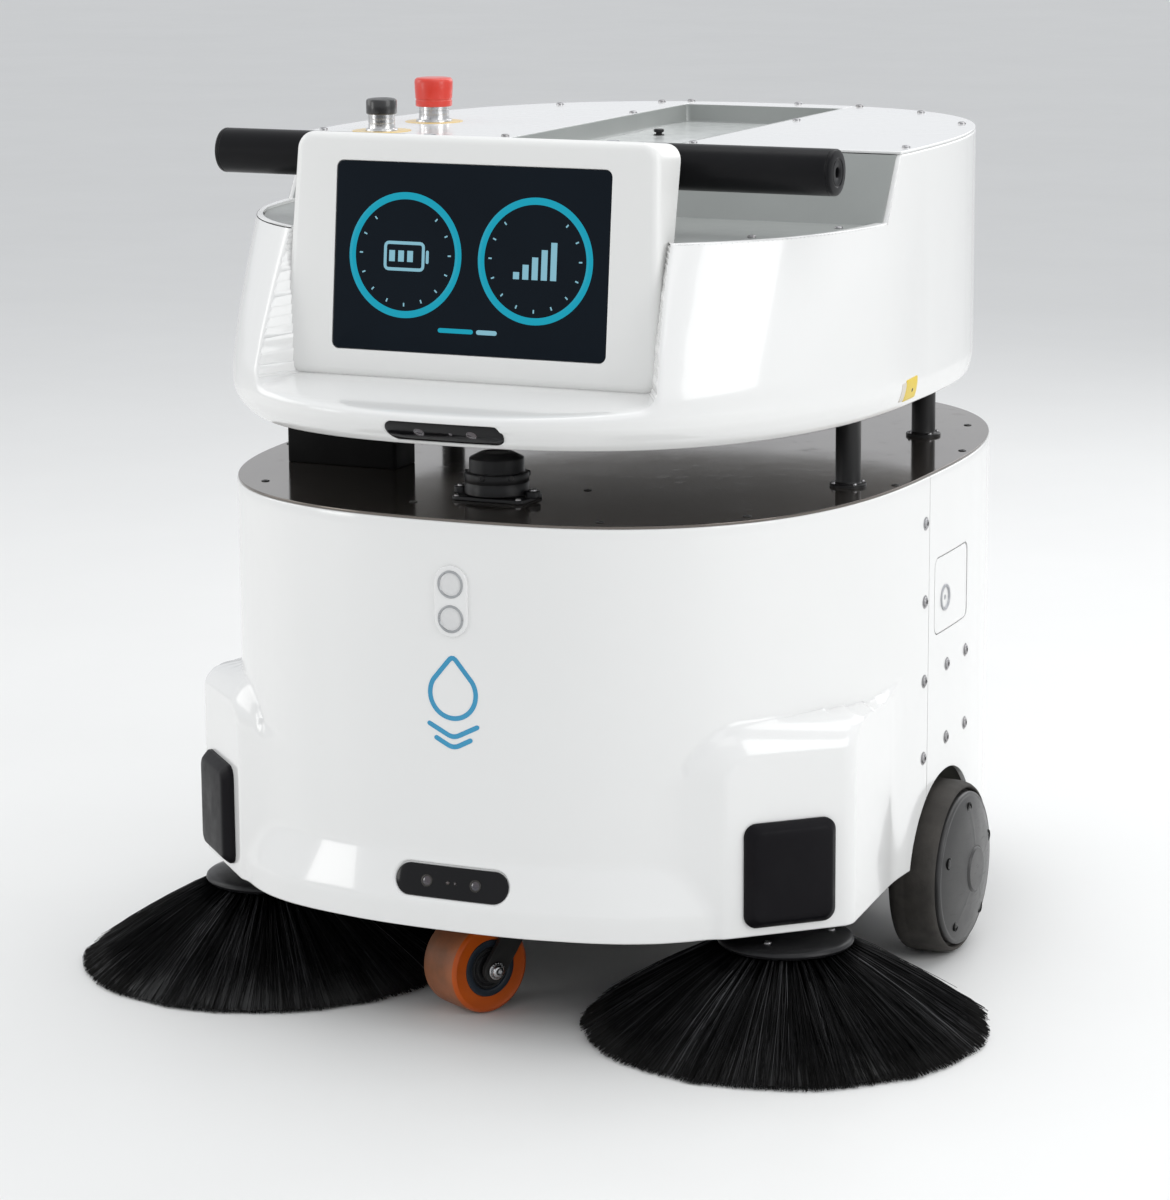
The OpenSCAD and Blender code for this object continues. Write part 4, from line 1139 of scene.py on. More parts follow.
# Two top covers, either side of the tray
COVER_BOTTOM = 865.2
COVER_INNER_X, COVER_FRONT_Y, COVER_GAP = 98.2, 27.5, 0.4
theta = np.linspace(math.radians(-25), math.radians(90), 600)
radius = superellipse(theta, TOP_SIDE - COVER_GAP, TOP_FRONT - COVER_GAP,
                      HEAD_REAR - COVER_GAP, HEAD_POWER)
edge = np.c_[radius * np.cos(theta), CENTRE_Y + radius * np.sin(theta)]
edge = edge[(edge[:, 0] > COVER_INNER_X) & (edge[:, 1] > COVER_FRONT_Y)][::3]
edge = np.r_[edge, [[COVER_INNER_X, edge[-1][1]], [COVER_INNER_X, COVER_FRONT_Y],
                    [edge[0][0], COVER_FRONT_Y]]]
cover = resample(round_corners(edge, 2.5, 4, closed=True), 9.0, closed=True)
for name, outline in (("right", cover), ("left", (cover * [-1, 1])[::-1])):
    part = Part()
    part.add(prism(outline, COVER_BOTTOM, HEAD_TOP, 0.8, 3))
    part.put("top_cover_" + name, "chassis", "panel_white", "panel_white", "top_panel_" + name)


def tray_ring(grow, z, narrow=0.0):
    outline = round_rect(95.2 + grow - narrow, 233 + grow, 6 + grow, 5, 8)
    return level_xy(outline, z, (0, 265))


# Tray: pressed pan with a rounded floor corner, its underside, and the strip behind it
part = Part()
rings = [tray_ring(grow, z) for grow, z in
         ((3.0, 867.0), (2.6, 867.9), (0.4, 868.0), (0.0, 867.6), (-0.1, 851), (-1.0, 848.6),
          (-3.2, 848.0))]
part.add(loft(rings, cap_first=False, cap_last=False))
# The floor takes the lighter grey: painted light on the upward face of the one pressed pan.
part.add((rings[-1], [tuple(range(len(rings[-1])))]), 1)
part.add(loft([tray_ring(3.0, z, narrow=0.5) for z in (867.0, 846.5)], cap_first=False))
strip = [(-97.6, 501), (97.6, 501)]
strip += [(x, CENTRE_Y + (HEAD_REAR - 0.4)
           * (1 - (abs(x) / TOP_SIDE) ** HEAD_POWER) ** (1 / HEAD_POWER))
          for x in np.linspace(97.6, -97.6, 24)]
part.add(prism(resample(strip, 12, True), COVER_BOTTOM, HEAD_TOP, 0.6, 2), 2)
part.put("tray_pan", "chassis", "panel_grey tray_floor panel_white", "panel_grey", "top_tray")

# Head screws: on the top, and on the lower front rim; places are (x, y)
HEAD_SCREWS = (
    (HEAD_TOP, ((-330, 49), (-300, 250), (-230, 440), (-110, 45), (-103, 363), (-134, 516),
                (-106, 538), (330, 72), (291, 356), (200, 478), (106, 45), (106, 336),
                (106, 532), (27, 541))),
    (797.0, ((252, -152), (303, -48), (-252, -152), (-303, -48))))
part = Part()
for z, places in HEAD_SCREWS:
    for x, y in places:
        part.add(screw_head((x, y, z), (0, 0, 1), 4.4, 2.3, rng.uniform(0, 6)))
part.put("head_screw_heads", "chassis", "screw_steel", "steel_bright", "head_screws")


def side_x(y):
    """Half width of the right side of the body at y."""
    depth = BODY_FRONT if y < CENTRE_Y else BODY_REAR
    return BODY_SIDE * (1 - abs((y - CENTRE_Y) / depth) ** BODY_POWER) ** (1 / BODY_POWER)


# Body screws: cupped ones on both sides as (y, z), and low dark ones in the deck as (x, y)
SIDE_SCREWS = ((78, 479), (78, 396), (78, 311), (78, 228), (150, 315), (218, 316), (150, 235),
               (218, 235))
DECK_SCREWS = ((344, 12), (338, 236), (288, 398), (170, 520), (0, 572), (-170, 520),
               (-288, 398), (-345, 236), (-352, -1), (-264, -214), (-68, -262), (66, -135),
               (270, -206), (150, -290))
part = Part()
for side in (1, -1):
    for y, z in SIDE_SCREWS:
        x = side_x(y) + (LEFT_EXTRA if side < 0 else 0.0)
        normal = (side, side_x(y - 0.5) - side_x(y + 0.5), 0)
        part.add(screw_head((side * (x - 0.2), y, z), normal, 5.4, 2.6, rng.uniform(0, 6)))
        part.add(lathe([(7.2, -0.6), (7.2, 0.35), (6.9, 0.55), (5.0, 0.55)], axis=normal,
                       origin=(side * (x - 0.1), y, z), seg=28))
for x, y in DECK_SCREWS:
    part.add(screw_head((x, y, DECK_TOP), (0, 0, 1), 4.3, 1.0, rng.uniform(0, 6)), 1)
part.put("body_screw_heads", "chassis", "screw_steel dark_screw", "steel_bright",
         "body_screws")

part = Part()
part.add(lathe([(14.2, -0.5), (14.2, 0.9), (13.6, 1.5), (11.6, 1.5), (11.0, 1.0), (10.6, -0.8),
                (9.5, -1.6), (3.4, -1.6), (3.2, -0.2), (2.6, 0.2), (0, 0.2)],
               axis=(1, 0, 0), origin=(side_x(141), 141, 389), seg=64))
part.put("door_ring_pull", "door", "bracket_grey", "bracket_grey", "door_pull")

# ---------------------------------------------------------------- screen

HOUSING_HALF_W, HOUSING_HALF_TOP, HOUSING_CORNER, HOUSING_ROUND = 206, 198, 18, 9.0
GLASS_HALF_W, GLASS_HALF_H, GLASS_CORNER = 149.5, 93.0, 7.0
GLASS_Y = 0.24


def housing_outline(inset=0.0):
    return round_rect(HOUSING_HALF_W - inset, SCREEN_HALF_H - inset,
                      HOUSING_CORNER - inset * 0.75, 8, 8, half_top=HOUSING_HALF_TOP - inset)


def glass_outline(inset, radius):
    return round_rect(GLASS_HALF_W - inset, GLASS_HALF_H - inset, radius, 8, 8)


# Housing: sloping back, rounded front edge, then the step down to the glass
part = Part()
outline = housing_outline()
back = 10.0 + (outline[:, 1] + SCREEN_HALF_H) * BACK_SLOPE
rings = [level_xz(outline * 0.985, back + 0.6),
         level_xz(outline, np.maximum(back - 1.2, HOUSING_ROUND + 0.3))]
for k in range(7):
    a = math.pi / 2 * k / 6
    rings.append(level_xz(housing_outline(HOUSING_ROUND * (1 - math.cos(a))),
                          HOUSING_ROUND - HOUSING_ROUND * math.sin(a)))
for inset, y in ((-2.2, 0.0), (-1.0, 0.05), (-0.6, 0.3), (-0.5, 2.2), (0.6, 3.0)):
    rings.append(level_xz(glass_outline(inset, GLASS_CORNER - inset), y))
part.add(loft([from_screen(ring) for ring in rings]))
part.put("screen_bezel_moulding", "chassis", "housing_white", "housing_white",
         "screen_housing", angle=35)

# Glass; rows: inset, depth, corner radius
part = Part()
part.add(loft([from_screen(level_xz(glass_outline(inset, radius), y)) for inset, y, radius in
               ((0.2, 2.8, GLASS_CORNER), (0.0, 2.2, GLASS_CORNER), (0.0, 0.65, GLASS_CORNER),
                (0.5, 0.30, GLASS_CORNER), (1.2, GLASS_Y, 6.0), (40, GLASS_Y, 6.0))]))
part.put("display_cover_glass", "chassis", "screen_glass", "screen_glass", "display_glass",
         angle=50)

# Instrument page on the glass: two dials, level bars and a progress line
CYAN, PALE = 0, 1
DIAL_Z = 2
page = Part()


def draw(path, width, material, closed=False, edge=0.05, taper=True):
    verts, faces = ribbon(path, width, 0.10, closed=closed, edge=edge, taper=taper)
    points = np.c_[verts[:, 0], GLASS_Y - verts[:, 2], verts[:, 1]]
    page.add((from_screen(points), faces), material)


turn = np.radians(np.linspace(0, 356, 90))
for x in (-71, 71):
    draw(np.c_[x + 58.5 * np.cos(turn), DIAL_Z + 58.5 * np.sin(turn)], 7.0, CYAN, closed=True,
         edge=0.06)
for x in (-71, 71):
    for a in np.radians(np.linspace(-227, 47, 13)):
        tick = [(x + r * math.cos(a), DIAL_Z + r * math.sin(a)) for r in (47, 50.5)]
        draw(resample(tick, 1.2), 1.5, PALE, taper=False)
# Battery sign in the left dial
case = round_corners([(-93, -12), (-51, -12), (-51, 14), (-93, 14)], 4, 5, True)
draw(resample(case, 2.0, True), 3.2, PALE, closed=True)
draw(resample([(-46.5, -4), (-46.5, 6)], 1.5), 3.2, PALE)
for x in (-85.5, -75.5, -65.5):
    draw(resample([(x, -4.5), (x, 6.5)], 1.5), 6.4, PALE, taper=False)
# Rising bars in the right dial
for k in range(5):
    x = 51 + 10 * k
    draw(resample([(x, -16), (x, -9 + 7.5 * k)], 1.5), 6.6, PALE, taper=False)
draw(resample([(-30, -70), (4, -70)], 2), 4.6, CYAN)
draw(resample([(12, -70), (30, -70)], 2), 4.6, PALE)
page.put("display_page", "chassis", "screen_cyan screen_pale", "screen_glass", angle=60)

# ---------------------------------------------------------------- bar, grips and buttons

BAR_ORIGIN = (0, -148.0, 863.0)
part = Part()
part.add(lathe([(0, -131), (14, -131), (14, 131), (0, 131)], axis=(1, 0, 0), origin=BAR_ORIGIN,
               seg=64))
part.put("bar_tube", "chassis", "frame_black", "bar_black", "handlebar")
GRIP_PROFILE = [
    (14.2, 128), (21, 128), (22.6, 129), (23, 131), (23, 134), (22.4, 134.6), (22.4, 135.6),
    (23, 136.2), (23, 334.6), (22.5, 335.0), (22.5, 335.8), (23, 336.2), (22.9, 338.2),
    (22.2, 339.5), (20.5, 340.2), (14.6, 340.3), (13.9, 339.6), (12.9, 339.4), (12.4, 340.0),
    (6.4, 340.0), (5.4, 339.4), (5.0, 338.0), (5.0, 331), (0, 331)]
part = Part()
for side in (1, -1):
    part.add(lathe(GRIP_PROFILE, axis=(side, 0, 0), origin=BAR_ORIGIN))
part.put("grip_sleeves", "chassis", "grip_black", "grip_black", "handle_grips")

STOP_ORIGIN, PUSH_ORIGIN = (-265.0, 185.0, 0), (-265.0, 60.0, 0)
part = Part()
for origin, r, top in ((STOP_ORIGIN, 16.7, 889.5), (PUSH_ORIGIN, 14.4, 889.0)):
    part.add(closed_lathe([
        (8.5, 868.4), (r + 3.2, 868.4), (r + 3.2, 869.6), (r + 2.6, 870.4), (r + 0.2, 870.6),
        (r, 871.2), (r, 875.6), (r - 0.5, 875.9), (r - 0.5, 876.5), (r, 876.8), (r, 880.4),
        (r - 0.5, 880.7), (r - 0.5, 881.3), (r, 881.6), (r, top - 0.8), (r - 0.8, top),
        (8.5, top)], origin=origin, seg=72))
part.put("button_collars", "chassis", "steel_bright", "steel_bright", "button_bodies")
part = Part()
part.add(lathe([
    (0, 842), (8, 842), (8, 896), (17.6, 896), (17.7, 885.6), (18.4, 885.0), (19.6, 885.0),
    (20.2, 885.8), (20.2, 891.4), (19.7, 892.0), (19.7, 893.0), (20.3, 893.6), (20.9, 903),
    (21.2, 911.5), (20.8, 914.0), (19.0, 915.8), (16.0, 916.3), (0, 916.3)],
    origin=STOP_ORIGIN))
part.put("stop_mushroom", "estop", "red_button", "red_button", "estop_cap")
part = Part()
part.add(lathe([
    (0, 842), (7, 842), (7, 894), (15.2, 894), (15.3, 886.6), (15.8, 886.0), (16.3, 886.4),
    (16.6, 887.4), (16.6, 899.4), (16.0, 901.4), (14.4, 902.4), (12.4, 902.6), (11.6, 902.0),
    (0, 901.8)], origin=PUSH_ORIGIN))
part.put("black_mushroom", "push_button", "black_button", "black_button", "push_button_cap")
part = Part()
for origin in (STOP_ORIGIN, PUSH_ORIGIN):
    part.add(closed_lathe([(14.6, 867.9), (32, 867.9), (32, 868.25), (31.7, 868.38),
                           (14.9, 868.38), (14.6, 868.3)], origin=origin))
part.put("legend_rings", "chassis", "legend_yellow", "legend_yellow", "button_legends")

# ---------------------------------------------------------------- wheels

tyre_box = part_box("tyre_right")
WHEEL_Z = 0.5 * (tyre_box[0].z + tyre_box[1].z) * 1000.0
# Wheel profiles: radius, distance out from the middle plane
TYRE_PROFILE = [
    (74, 326), (82, 322.6), (87, 322.4), (90.5, 324.2), (92.4, 327.5), (93, 332), (93, 340),
    (92.8, 341), (93, 342), (93, 355), (92.7, 361), (92.0, 366), (90.8, 370), (89.0, 372.8),
    (87.2, 373.8), (86.0, 373.2), (85.3, 371), (85.0, 366), (74, 366)]
HUB_PROFILE = [
    (0, 322), (24, 322), (26, 330), (73, 330), (73, 367.5), (81.6, 367.5), (82.4, 370.5),
    (82.5, 374.6), (82.0, 376.4), (80.8, 377.6), (79.4, 378.0), (78.4, 377.8), (77.6, 378.0),
    (76.4, 378.6), (60, 383.4), (42, 386.8), (26.0, 388.8), (25.2, 388.4), (24.6, 388.4),
    (24.0, 389.8), (22.6, 391.0), (12, 391.6), (0, 391.7)]
SCREW_CIRCLE = 66
SIDES = (("right", 1), ("left", -1))


def hub_cover(side):
    """Turned cover with shallow raised ribs from the boss towards the five screws."""
    verts, faces = lathe(HUB_PROFILE, axis=(side, 0, 0), seg=240)
    x, y, z = verts.T
    radius = np.hypot(y, z)
    angle = np.arctan2(z, y) - math.radians(18)
    pitch = 2 * math.pi / 5
    off_rib = (angle - np.round(angle / pitch) * pitch) * radius
    on_face = (radius > 28) & (radius < 58) & (np.abs(x) > 378)
    verts[:, 0] += side * 0.35 * np.exp(-(off_rib / 2.6) ** 2) * on_face
    return verts + [0, WHEEL_Y, WHEEL_Z], faces


for name, side in SIDES:
    part = Part()
    part.add(closed_lathe(TYRE_PROFILE, axis=(side, 0, 0), origin=(0, WHEEL_Y, WHEEL_Z),
                          seg=160))
    part.put("tyre_moulding_" + name, "wheel_" + name, "tyre_rubber", "tyre_rubber",
             "tyre_" + name)
    part = Part()
    part.add(hub_cover(side))
    for k in range(5):
        a = math.radians(18 + 72 * k)
        y, z = WHEEL_Y + SCREW_CIRCLE * math.cos(a), WHEEL_Z + SCREW_CIRCLE * math.sin(a)
        # Near-black cup round each screw: painted shade of the screw's recess.
        part.add(lathe([(6.6, -3), (6.6, 0.5), (6.1, 0.9), (5.2, 0.8), (4.6, 0.1), (0, -0.1)],
                       axis=(side, 0, 0), origin=(side * 381.2, y, z), seg=28), 2)
        part.add(screw_head((side * 380.9, y, z), (side, 0, 0), 3.2, 1.0, a), 1)
    part.put("hub_cover_" + name, "wheel_" + name, "hub_dark frame_black matte_black",
             "hub_dark", "wheel_hub_" + name, angle=30)

# Liners of the wheel arches: an arched wall with a face on its inner end
part = Part()
angles = np.radians(np.linspace(12, 168, 60))
for side, outer_x in ((1, 347.5), (-1, 357)):
    rows = ((113.0, 318), (113.0, outer_x), (116.0, outer_x), (116.0, 315), (50.0, 315),
            (50.0, 318))
    rings = [np.c_[np.full(60, side * x), WHEEL_Y + r * np.cos(angles),
                   WHEEL_Z + r * np.sin(angles)] for r, x in rows]
    faces = grid_faces(6, 60, close_rows=True)
    faces.append(tuple(i * 60 for i in range(6)))
    faces.append(tuple(i * 60 + 59 for i in reversed(range(6))))
    part.add((np.concatenate(rings), faces))
part.put("wheel_arch_liners", "chassis", "wheel_well", "inner_plastic", angle=40)

# Front caster, swivelled about Z
CASTER_AXIS = np.array([0.8829476, -0.4694716, 0.0])
CASTER_CENTRE = np.array([-18.779, -235.318, 48.0])


def paint_by_radius(ob, limit, beyond, within):
    """Choose each face's material by its distance from the caster axis."""
    for polygon in ob.data.polygons:
        centre = np.array(polygon.center) * 1000.0
        centre[1] -= SHIFT_Y
        offset = centre - CASTER_CENTRE
        radius = np.linalg.norm(offset - (offset @ CASTER_AXIS) * CASTER_AXIS)
        polygon.material_index = beyond if radius > limit else within


half = [(30, -26), (40, -26.5), (43, -27.6), (45, -26.8), (46.9, -24.5), (47.8, -21.5),
        (48, -12)]
part = Part()
part.add(closed_lathe(half + [(48, 0)] + [(r, -h) for r, h in reversed(half)],
                      axis=CASTER_AXIS, origin=CASTER_CENTRE, seg=128))
ob = part.put("caster_tyre_moulding", "caster_wheel", "caster_orange caster_tread",
              "caster_orange", "caster_tyre")
paint_by_radius(ob, 46.5, beyond=1, within=0)

CORE_PROFILE = [
    (0, 6), (30, 6), (30, 25.6), (29.4, 26.8), (27.8, 27.0), (23.4, 26.8), (22.6, 26.2),
    (22.2, 24.6), (20.4, 24.2), (20.0, 25.4), (18.8, 25.6), (18.2, 24.4), (16.0, 24.2),
    (15.6, 25.8), (14.6, 26.0), (12.0, 26.0), (11.4, 24.0), (7, 24.0), (6.2, 24.0), (6.2, 6)]
part = Part()
for side in (1, -1):
    part.add(lathe(CORE_PROFILE, axis=CASTER_AXIS * side, origin=CASTER_CENTRE))
ob = part.put("caster_core_moulding", "caster_wheel", "caster_core_grey black_plastic",
              "caster_core_grey", "caster_core")
paint_by_radius(ob, 21.5, beyond=0, within=1)

# Axle bolt ends: a washer, a screw head and a ring of small beads
part = Part()
for side in (1, -1):
    axis = CASTER_AXIS * side
    seat = CASTER_CENTRE + axis * 39.0
    part.add(lathe([(0, 37.6), (9.4, 37.6), (9.4, 38.6), (8.8, 39.2), (6.8, 39.3)], axis=axis,
                   origin=CASTER_CENTRE, seg=48))
    part.add(screw_head(seat, axis, 6.6, 4.0, 0.3))
    for k in range(18):
        a = 2 * math.pi * k / 18
        bead = seat + axis_matrix(axis) @ np.array([8.0 * math.cos(a), 8.0 * math.sin(a), 0.0])
        part.add(lathe([(0, -0.6), (0.8, -0.4), (0.6, 0.7), (0, 0.8)], axis=axis, origin=bead,
                       seg=8))
part.put("caster_axle_bolt", "caster_swivel", "steel_bright", "steel_bright")


# ---------------------------------------------------------------- brushes

def strand_object(name, mesh_name, body, replaced, material, path, tangent, helper, radius,
                  turn, shade, smooth):
    """Three-sided strands along path, an array of (strand, point, xyz).

    helper crosses the tangents to give the sideways direction, and turn spins the triangle.
    """
    strands, points = path.shape[:2]
    tangent = tangent / np.linalg.norm(tangent, axis=2)[..., None]
    sideways = np.cross(tangent, np.array(helper))
    sideways /= np.linalg.norm(sideways, axis=2)[..., None]
    up = np.cross(sideways, tangent)
    angles = [2 * math.pi * k / 3 + turn for k in range(3)]
    verts = np.stack([path + radius * (math.cos(a) * sideways + math.sin(a) * up)
                      for a in angles], 2).reshape(-1, 3)
    first = np.arange(strands) * (points * 3)
    ring = first[:, None, None] + np.arange(points - 1)[None, :, None] * 3
    corner = np.arange(3)[None, None, :]
    following = (corner + 1) % 3
    quads = np.stack([ring + corner, ring + following, ring + 3 + following,
                      ring + 3 + corner], -1).reshape(-1, 4)
    roots = np.stack([first, first + 2, first + 1], 1)
    tips = np.stack([first, first + 1, first + 2], 1) + (points - 1) * 3
    data = mesh_data(mesh_name, (verts, quads.tolist() + roots.tolist() + tips.tolist()))
    data.materials.append(MATERIALS[material])
    along = np.repeat(np.tile(np.linspace(0, 1, points), strands), 3)
    for key, values in (("shade", np.repeat(shade, points * 3)), ("along", along)):
        attribute = data.attributes.new(key, "FLOAT", "POINT")
        attribute.data.foreach_set("value", values.astype(np.float32))
    if smooth:
        smooth_faces(data)
    register(add_object(name, data), body, replaced)


COLLAR_PROFILE = [
    (0, 84), (40, 84), (53.4, 84.2), (56.5, 85.4), (66.0, 88.6), (68.2, 90.2), (69.2, 92.4),
    (68.6, 94.6), (66.4, 96.4), (60, 98.2), (46, 99.6), (34, 100.2), (30, 101.4), (22, 106.2),
    (19, 107), (6, 107), (6, 180), (0, 180)]
# Packed inner strands, as a cone seen between the outer ones: radius, height
BRISTLE_CONE = ((46, 84.5), (56, 83.5), (90, 66), (130, 44), (168, 24), (192, 9), (198, 3.5),
                (190, 1.5), (150, 16), (90, 46), (46, 70))


def brush_strands(name, side, centre_x, centre_y, full_reach):
    """Tapering strands that droop from the collar to the floor."""
    count = 6500
    angle = rng.uniform(0, 2 * np.pi, count)
    tuft = np.round(angle / (2 * np.pi / 60)) * (2 * np.pi / 60)
    root_angle = angle + (tuft - angle) * 0.45
    layer = rng.uniform(0, 1, count) ** 0.6
    root_radius = 50 + 15.5 * layer
    root_z = 85.0 + 3.4 * layer
    reach = full_reach - rng.gamma(1.6, 1.6, count) - 26.0 * (1 - layer) ** 2
    wave = 2.5 * np.sin(angle * 11 + 0.7 * side) + 2.0 * np.sin(angle * 23 + 1.3)
    reach = np.minimum(reach + 0.6 * wave, full_reach + 0.4)
    tip_z = np.clip(1.2 + rng.gamma(1.5, 1.2, count) + (1 - layer) * -0.6, 0.5, 9.0)
    stray = rng.normal(0, 0.035, count) + 0.02 * np.sin(angle * 17)
    bow = rng.normal(5.0, 2.5, count)
    thickness = rng.uniform(0.42, 0.62, count)
    t = np.linspace(0, 1, 6)[None, :]
    r = root_radius[:, None] + (reach - root_radius)[:, None] * t
    a = root_angle[:, None] + (angle - root_angle + stray)[:, None] * t ** 1.2
    z = root_z[:, None] + (tip_z - root_z)[:, None] * t + bow[:, None] * 4 * t * (1 - t) * 0.55
    path = np.stack([centre_x + r * np.cos(a), centre_y + r * np.sin(a), z], -1)
    # Paler strands, more of them in some sectors, are painted sheen highlights on the black
    # strands.
    sheen_clumps = np.sin(angle * 9 + 1.1) * np.sin(angle * 5.3) > 0.15
    shade = np.clip(rng.beta(0.45, 3.6, count) * (0.45 + 1.1 * sheen_clumps), 0.0, 1.0)
    strand_object("bristle_strands_" + name, "strands_" + name, "brush_" + name,
                  "bristles_" + name, "bristle", path, np.gradient(path, axis=1),
                  helper=(0, 0, 1.0), radius=(thickness[:, None] * (1 - 0.45 * t))[..., None],
                  turn=math.pi / 2, shade=shade, smooth=True)


for name, side in SIDES:
    centre_x, centre_y = side * 296.0, -165.0
    part = Part()
    part.add(lathe(COLLAR_PROFILE, origin=(centre_x, centre_y, 0), seg=128))
    for k in range(3):
        a = 2 * math.pi * k / 3 + 0.5
        place_on_collar = (centre_x + 46 * math.cos(a), centre_y + 46 * math.sin(a), 99.4)
        part.add(screw_head(place_on_collar, (0, 0, 1), 4.2, 2.2, a), 1)
    part.put("brush_collar_" + name, "brush_" + name, "black_plastic screw_steel",
             "black_plastic", "brush_hub_" + name)
    brush_strands(name, side, centre_x, centre_y, full_reach=208.0 if side > 0 else 204.0)

    part = Part()
    index = np.arange(288)
    angles = index * 2 * np.pi / 288
    tooth = 1.0 + 0.006 * (index % 2) + 0.004 * np.sin(index * 1.7)
    rings = []
    for radius, z in BRISTLE_CONE:
        r = radius * (tooth if radius > 60 else 1.0)
        rings.append(np.c_[centre_x + r * np.cos(angles), centre_y + r * np.sin(angles),
                           np.full(288, z)])
    part.add((np.concatenate(rings), grid_faces(len(rings), 288, True, True)))
    part.put("bristle_core_" + name, "brush_" + name, "inner_plastic", "bristle")


def roller_strands():
    """Eight spiral rows of tufts round the roller core."""
    core_radius, tip_radius, roller_y, roller_z = 23.5, 62, 300.0, 63.0
    count = 4200
    x = rng.uniform(-211, 211, count)
    row = rng.integers(0, 8, count)
    angle = row * (2 * np.pi / 8) + x / 422 * 1.6 + rng.normal(0, 0.07, count)
    t = np.linspace(0, 1, 3)[None, :]
    r = core_radius + (tip_radius - core_radius - rng.gamma(1.4, 0.5, count)[:, None]) * t
    a = angle[:, None] + rng.normal(0, 0.03, count)[:, None] * t
    path = np.stack([x[:, None] + rng.normal(0, 1.5, count)[:, None] * t,
                     roller_y + r * np.cos(a), roller_z + r * np.sin(a)], -1)
    tangent = path[:, 1:] - path[:, :-1]
    tangent = np.concatenate([tangent, tangent[:, -1:]], 1)
    strand_object("roller_strands", "roller_strands", "roller", "roller_bristles",
                  "roller_bristle", path, tangent, helper=(1.0, 0, 0), radius=0.7, turn=0.0,
                  shade=rng.beta(1.5, 3, count), smooth=False)


roller_strands()

# ---------------------------------------------------------------- tag and knob

# Blank two-tone tag low on the head's right side
part = Part()
for y0, y1, z0, z1, raised, material in ((20, 34, 613.5, 633, 0.0, 1),
                                         (33, 72, 612.5, 635, 0.25, 0)):
    outline = round_rect((y1 - y0) / 2, (z1 - z0) / 2, 2.0, 4, 5)
    rows = [(1.0, -0.5), (1.0, 0.35 + raised)]
    rows += [(scale, 0.5 + raised) for scale in (0.97, 0.7, 0.3, 0.05)]
    verts, faces = loft([level_xy(outline * scale, height, ((y0 + y1) / 2, (z0 + z1) / 2))
                         for scale, height in rows])
    part.add((conform_head_side(verts), faces), material)
base, above = conform_head_side([(56.0, 622.0, 0.7), (56.0, 622.0, 1.7)])
part.add(lathe([(0, -0.3), (2.0, -0.3), (2.0, 0.2), (1.6, 0.35), (0, 0.35)], axis=above - base,
               origin=base, seg=20), 2)
part.put("blank_tag", "chassis", "tab_yellow tag_pale black_plastic", "legend_yellow")

# Black knob on the tray floor
part = Part()
part.add(lathe([(0, 847.6), (6.2, 847.6), (6.2, 848.6), (5.6, 849.1), (3.6, 849.4),
                (3.5, 851.0), (5.4, 851.6), (5.8, 852.4), (5.8, 854.2), (5.0, 855.0),
                (0, 855.2)], origin=(-53, 321, 0), seg=40))
part.put("tray_knob", "chassis", "black_plastic", "black_plastic")

# ---------------------------------------------------------------- finishes of the CAD nodes

NODE_MATERIALS = {
    "frame_black": "chassis_plate frame_tubes wheel_axles caster_fork rear_fork_left "
                   "rear_fork_right",
    "head_base": "head_base_plate",
    "panel_grey": "handle_recess_pan",
    "electronics": "display_module controller_box",
    "bracket_grey": "handle_brackets",
    "battery_case": "battery",
    "inner_plastic": "vacuum_fan side_brush_motors roller_housing",
    "steel_bright": "door_pin roller_core",
    "rear_wheel_grey": "rear_wheel_left rear_wheel_right",
}
node_material = {node: material for material, names in NODE_MATERIALS.items()
                 for node in names.split()}
for name, node in nodes.items():
    node.data.materials.clear()
    node.data.materials.append(MATERIALS[node_material.get(name, "black_plastic")])

# ---------------------------------------------------------------- studio (metres)

# Floor: a wide flat disc of rings round a centre point
FLOOR_RADII = (0.8, 1.6, 3.0, 6.0, 12.0, 30.0, 90.0)
FLOOR_SEG = 64
verts = [(0.0, 0.0, 0.0)]
for r in FLOOR_RADII:
    for k in range(FLOOR_SEG):
        a = math.tau * k / FLOOR_SEG
        verts.append((r * math.cos(a), r * math.sin(a), 0.0))
faces = [(0, 1 + k, 1 + (k + 1) % FLOOR_SEG) for k in range(FLOOR_SEG)]
for i in range(len(FLOOR_RADII) - 1):
    inner, outer = 1 + i * FLOOR_SEG, 1 + (i + 1) * FLOOR_SEG
    for k in range(FLOOR_SEG):
        following = (k + 1) % FLOOR_SEG
        faces.append((inner + k, outer + k, outer + following, inner + following))
floor_data = bpy.data.meshes.new("floor")
floor_data.from_pydata(verts, [], faces)
smooth_faces(floor_data)
floor = add_object("floor", floor_data)
surface("floor", (0.80, 0.80, 0.79), (0.78, 0.78, 0.77), rough=0.55, bump_scale=60,
        var_scale=1.5, bevel=0.0)
floor_data.materials.append(MATERIALS["floor"])

world = bpy.data.worlds.new("studio")
bpy.context.scene.world = world
world.use_nodes = True
background = world.node_tree.nodes["Background"]
background.inputs["Color"].default_value = (0.95, 0.97, 1.0, 1)
background.inputs["Strength"].default_value = 0.76


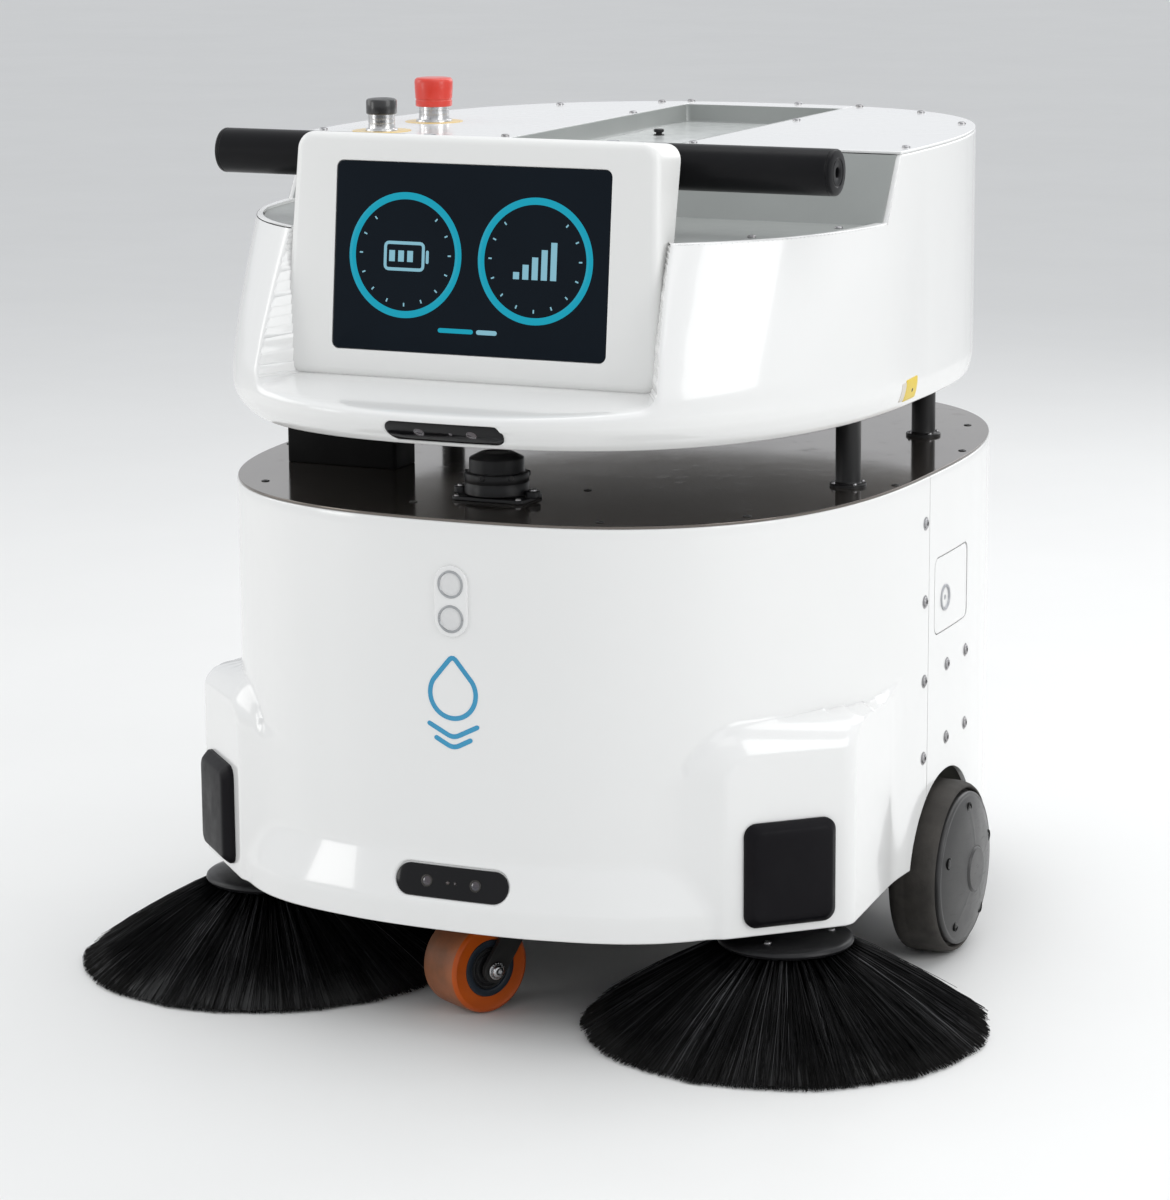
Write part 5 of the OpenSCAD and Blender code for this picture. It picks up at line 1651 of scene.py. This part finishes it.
def area_light(name, location, aim_z, size, power, color=(1, 1, 1), size_y=None):
    """Area light aimed at a point on the Z axis; a rectangle if size_y is given."""
    light = bpy.data.lights.new(name, "AREA")
    light.energy = power
    light.color = color
    light.size = size
    if size_y:
        light.shape = "RECTANGLE"
        light.size_y = size_y
    ob = bpy.data.objects.new(name, light)
    ob.location = location
    aim = Vector((0, 0, aim_z)) - Vector(location)
    ob.rotation_euler = aim.to_track_quat("-Z", "Y").to_euler()
    bpy.context.scene.collection.objects.link(ob)


area_light("key", (3.9, -0.9, 2.1), aim_z=0.45, size=2.4, size_y=2.6, power=47,
           color=(1.0, 1.0, 0.995))
area_light("left", (-3.7, -0.7, 2.0), aim_z=0.45, size=2.0, size_y=2.4, power=27,
           color=(1.0, 0.99, 0.965))
area_light("window", (-2.55, -2.35, 0.95), aim_z=0.25, size=0.8, size_y=1.0, power=9,
           color=(1.0, 1.0, 0.98))
area_light("high", (1.75, -2.5, 3.2), aim_z=0.6, size=1.6, size_y=1.4, power=6,
           color=(1.0, 1.0, 0.99))
area_light("top", (0.4, 0.6, 3.4), aim_z=0.6, size=2.6, power=36)
area_light("rim", (0.8, 3.2, 2.4), aim_z=0.7, size=2.4, power=30)

# Camera: circles the plan origin by azimuth, looks down by pitch and leans by roll
AZIMUTH, PITCH, ROLL = math.radians(24.6915), math.radians(11.8956), math.radians(-0.3697)
CAMERA_DISTANCE, CAMERA_HEIGHT = 4.0306, 1.2333
camera = bpy.data.cameras.new("camera")
camera.lens = 116.37
camera.sensor_width = 36.0
camera.sensor_fit = "AUTO"
camera.clip_end = 60
camera_object = bpy.data.objects.new("camera", camera)
view = Vector((-math.sin(AZIMUTH) * math.cos(PITCH), math.cos(AZIMUTH) * math.cos(PITCH),
               -math.sin(PITCH)))
level_right = Vector((math.cos(AZIMUTH), math.sin(AZIMUTH), 0))
level_up = level_right.cross(view)
right = level_right * math.cos(ROLL) + level_up * math.sin(ROLL)
up = -level_right * math.sin(ROLL) + level_up * math.cos(ROLL)
pose = Matrix((right, up, -view)).transposed().to_4x4()
pose.translation = Vector((math.sin(AZIMUTH) * CAMERA_DISTANCE,
                           -math.cos(AZIMUTH) * CAMERA_DISTANCE + SHIFT_Y * 0.001,
                           CAMERA_HEIGHT))
camera_object.matrix_world = pose
scene = bpy.context.scene
scene.collection.objects.link(camera_object)
scene.camera = camera_object
scene.view_settings.view_transform = "Standard"
scene.view_settings.look = "None"
scene.view_settings.exposure = 0.0
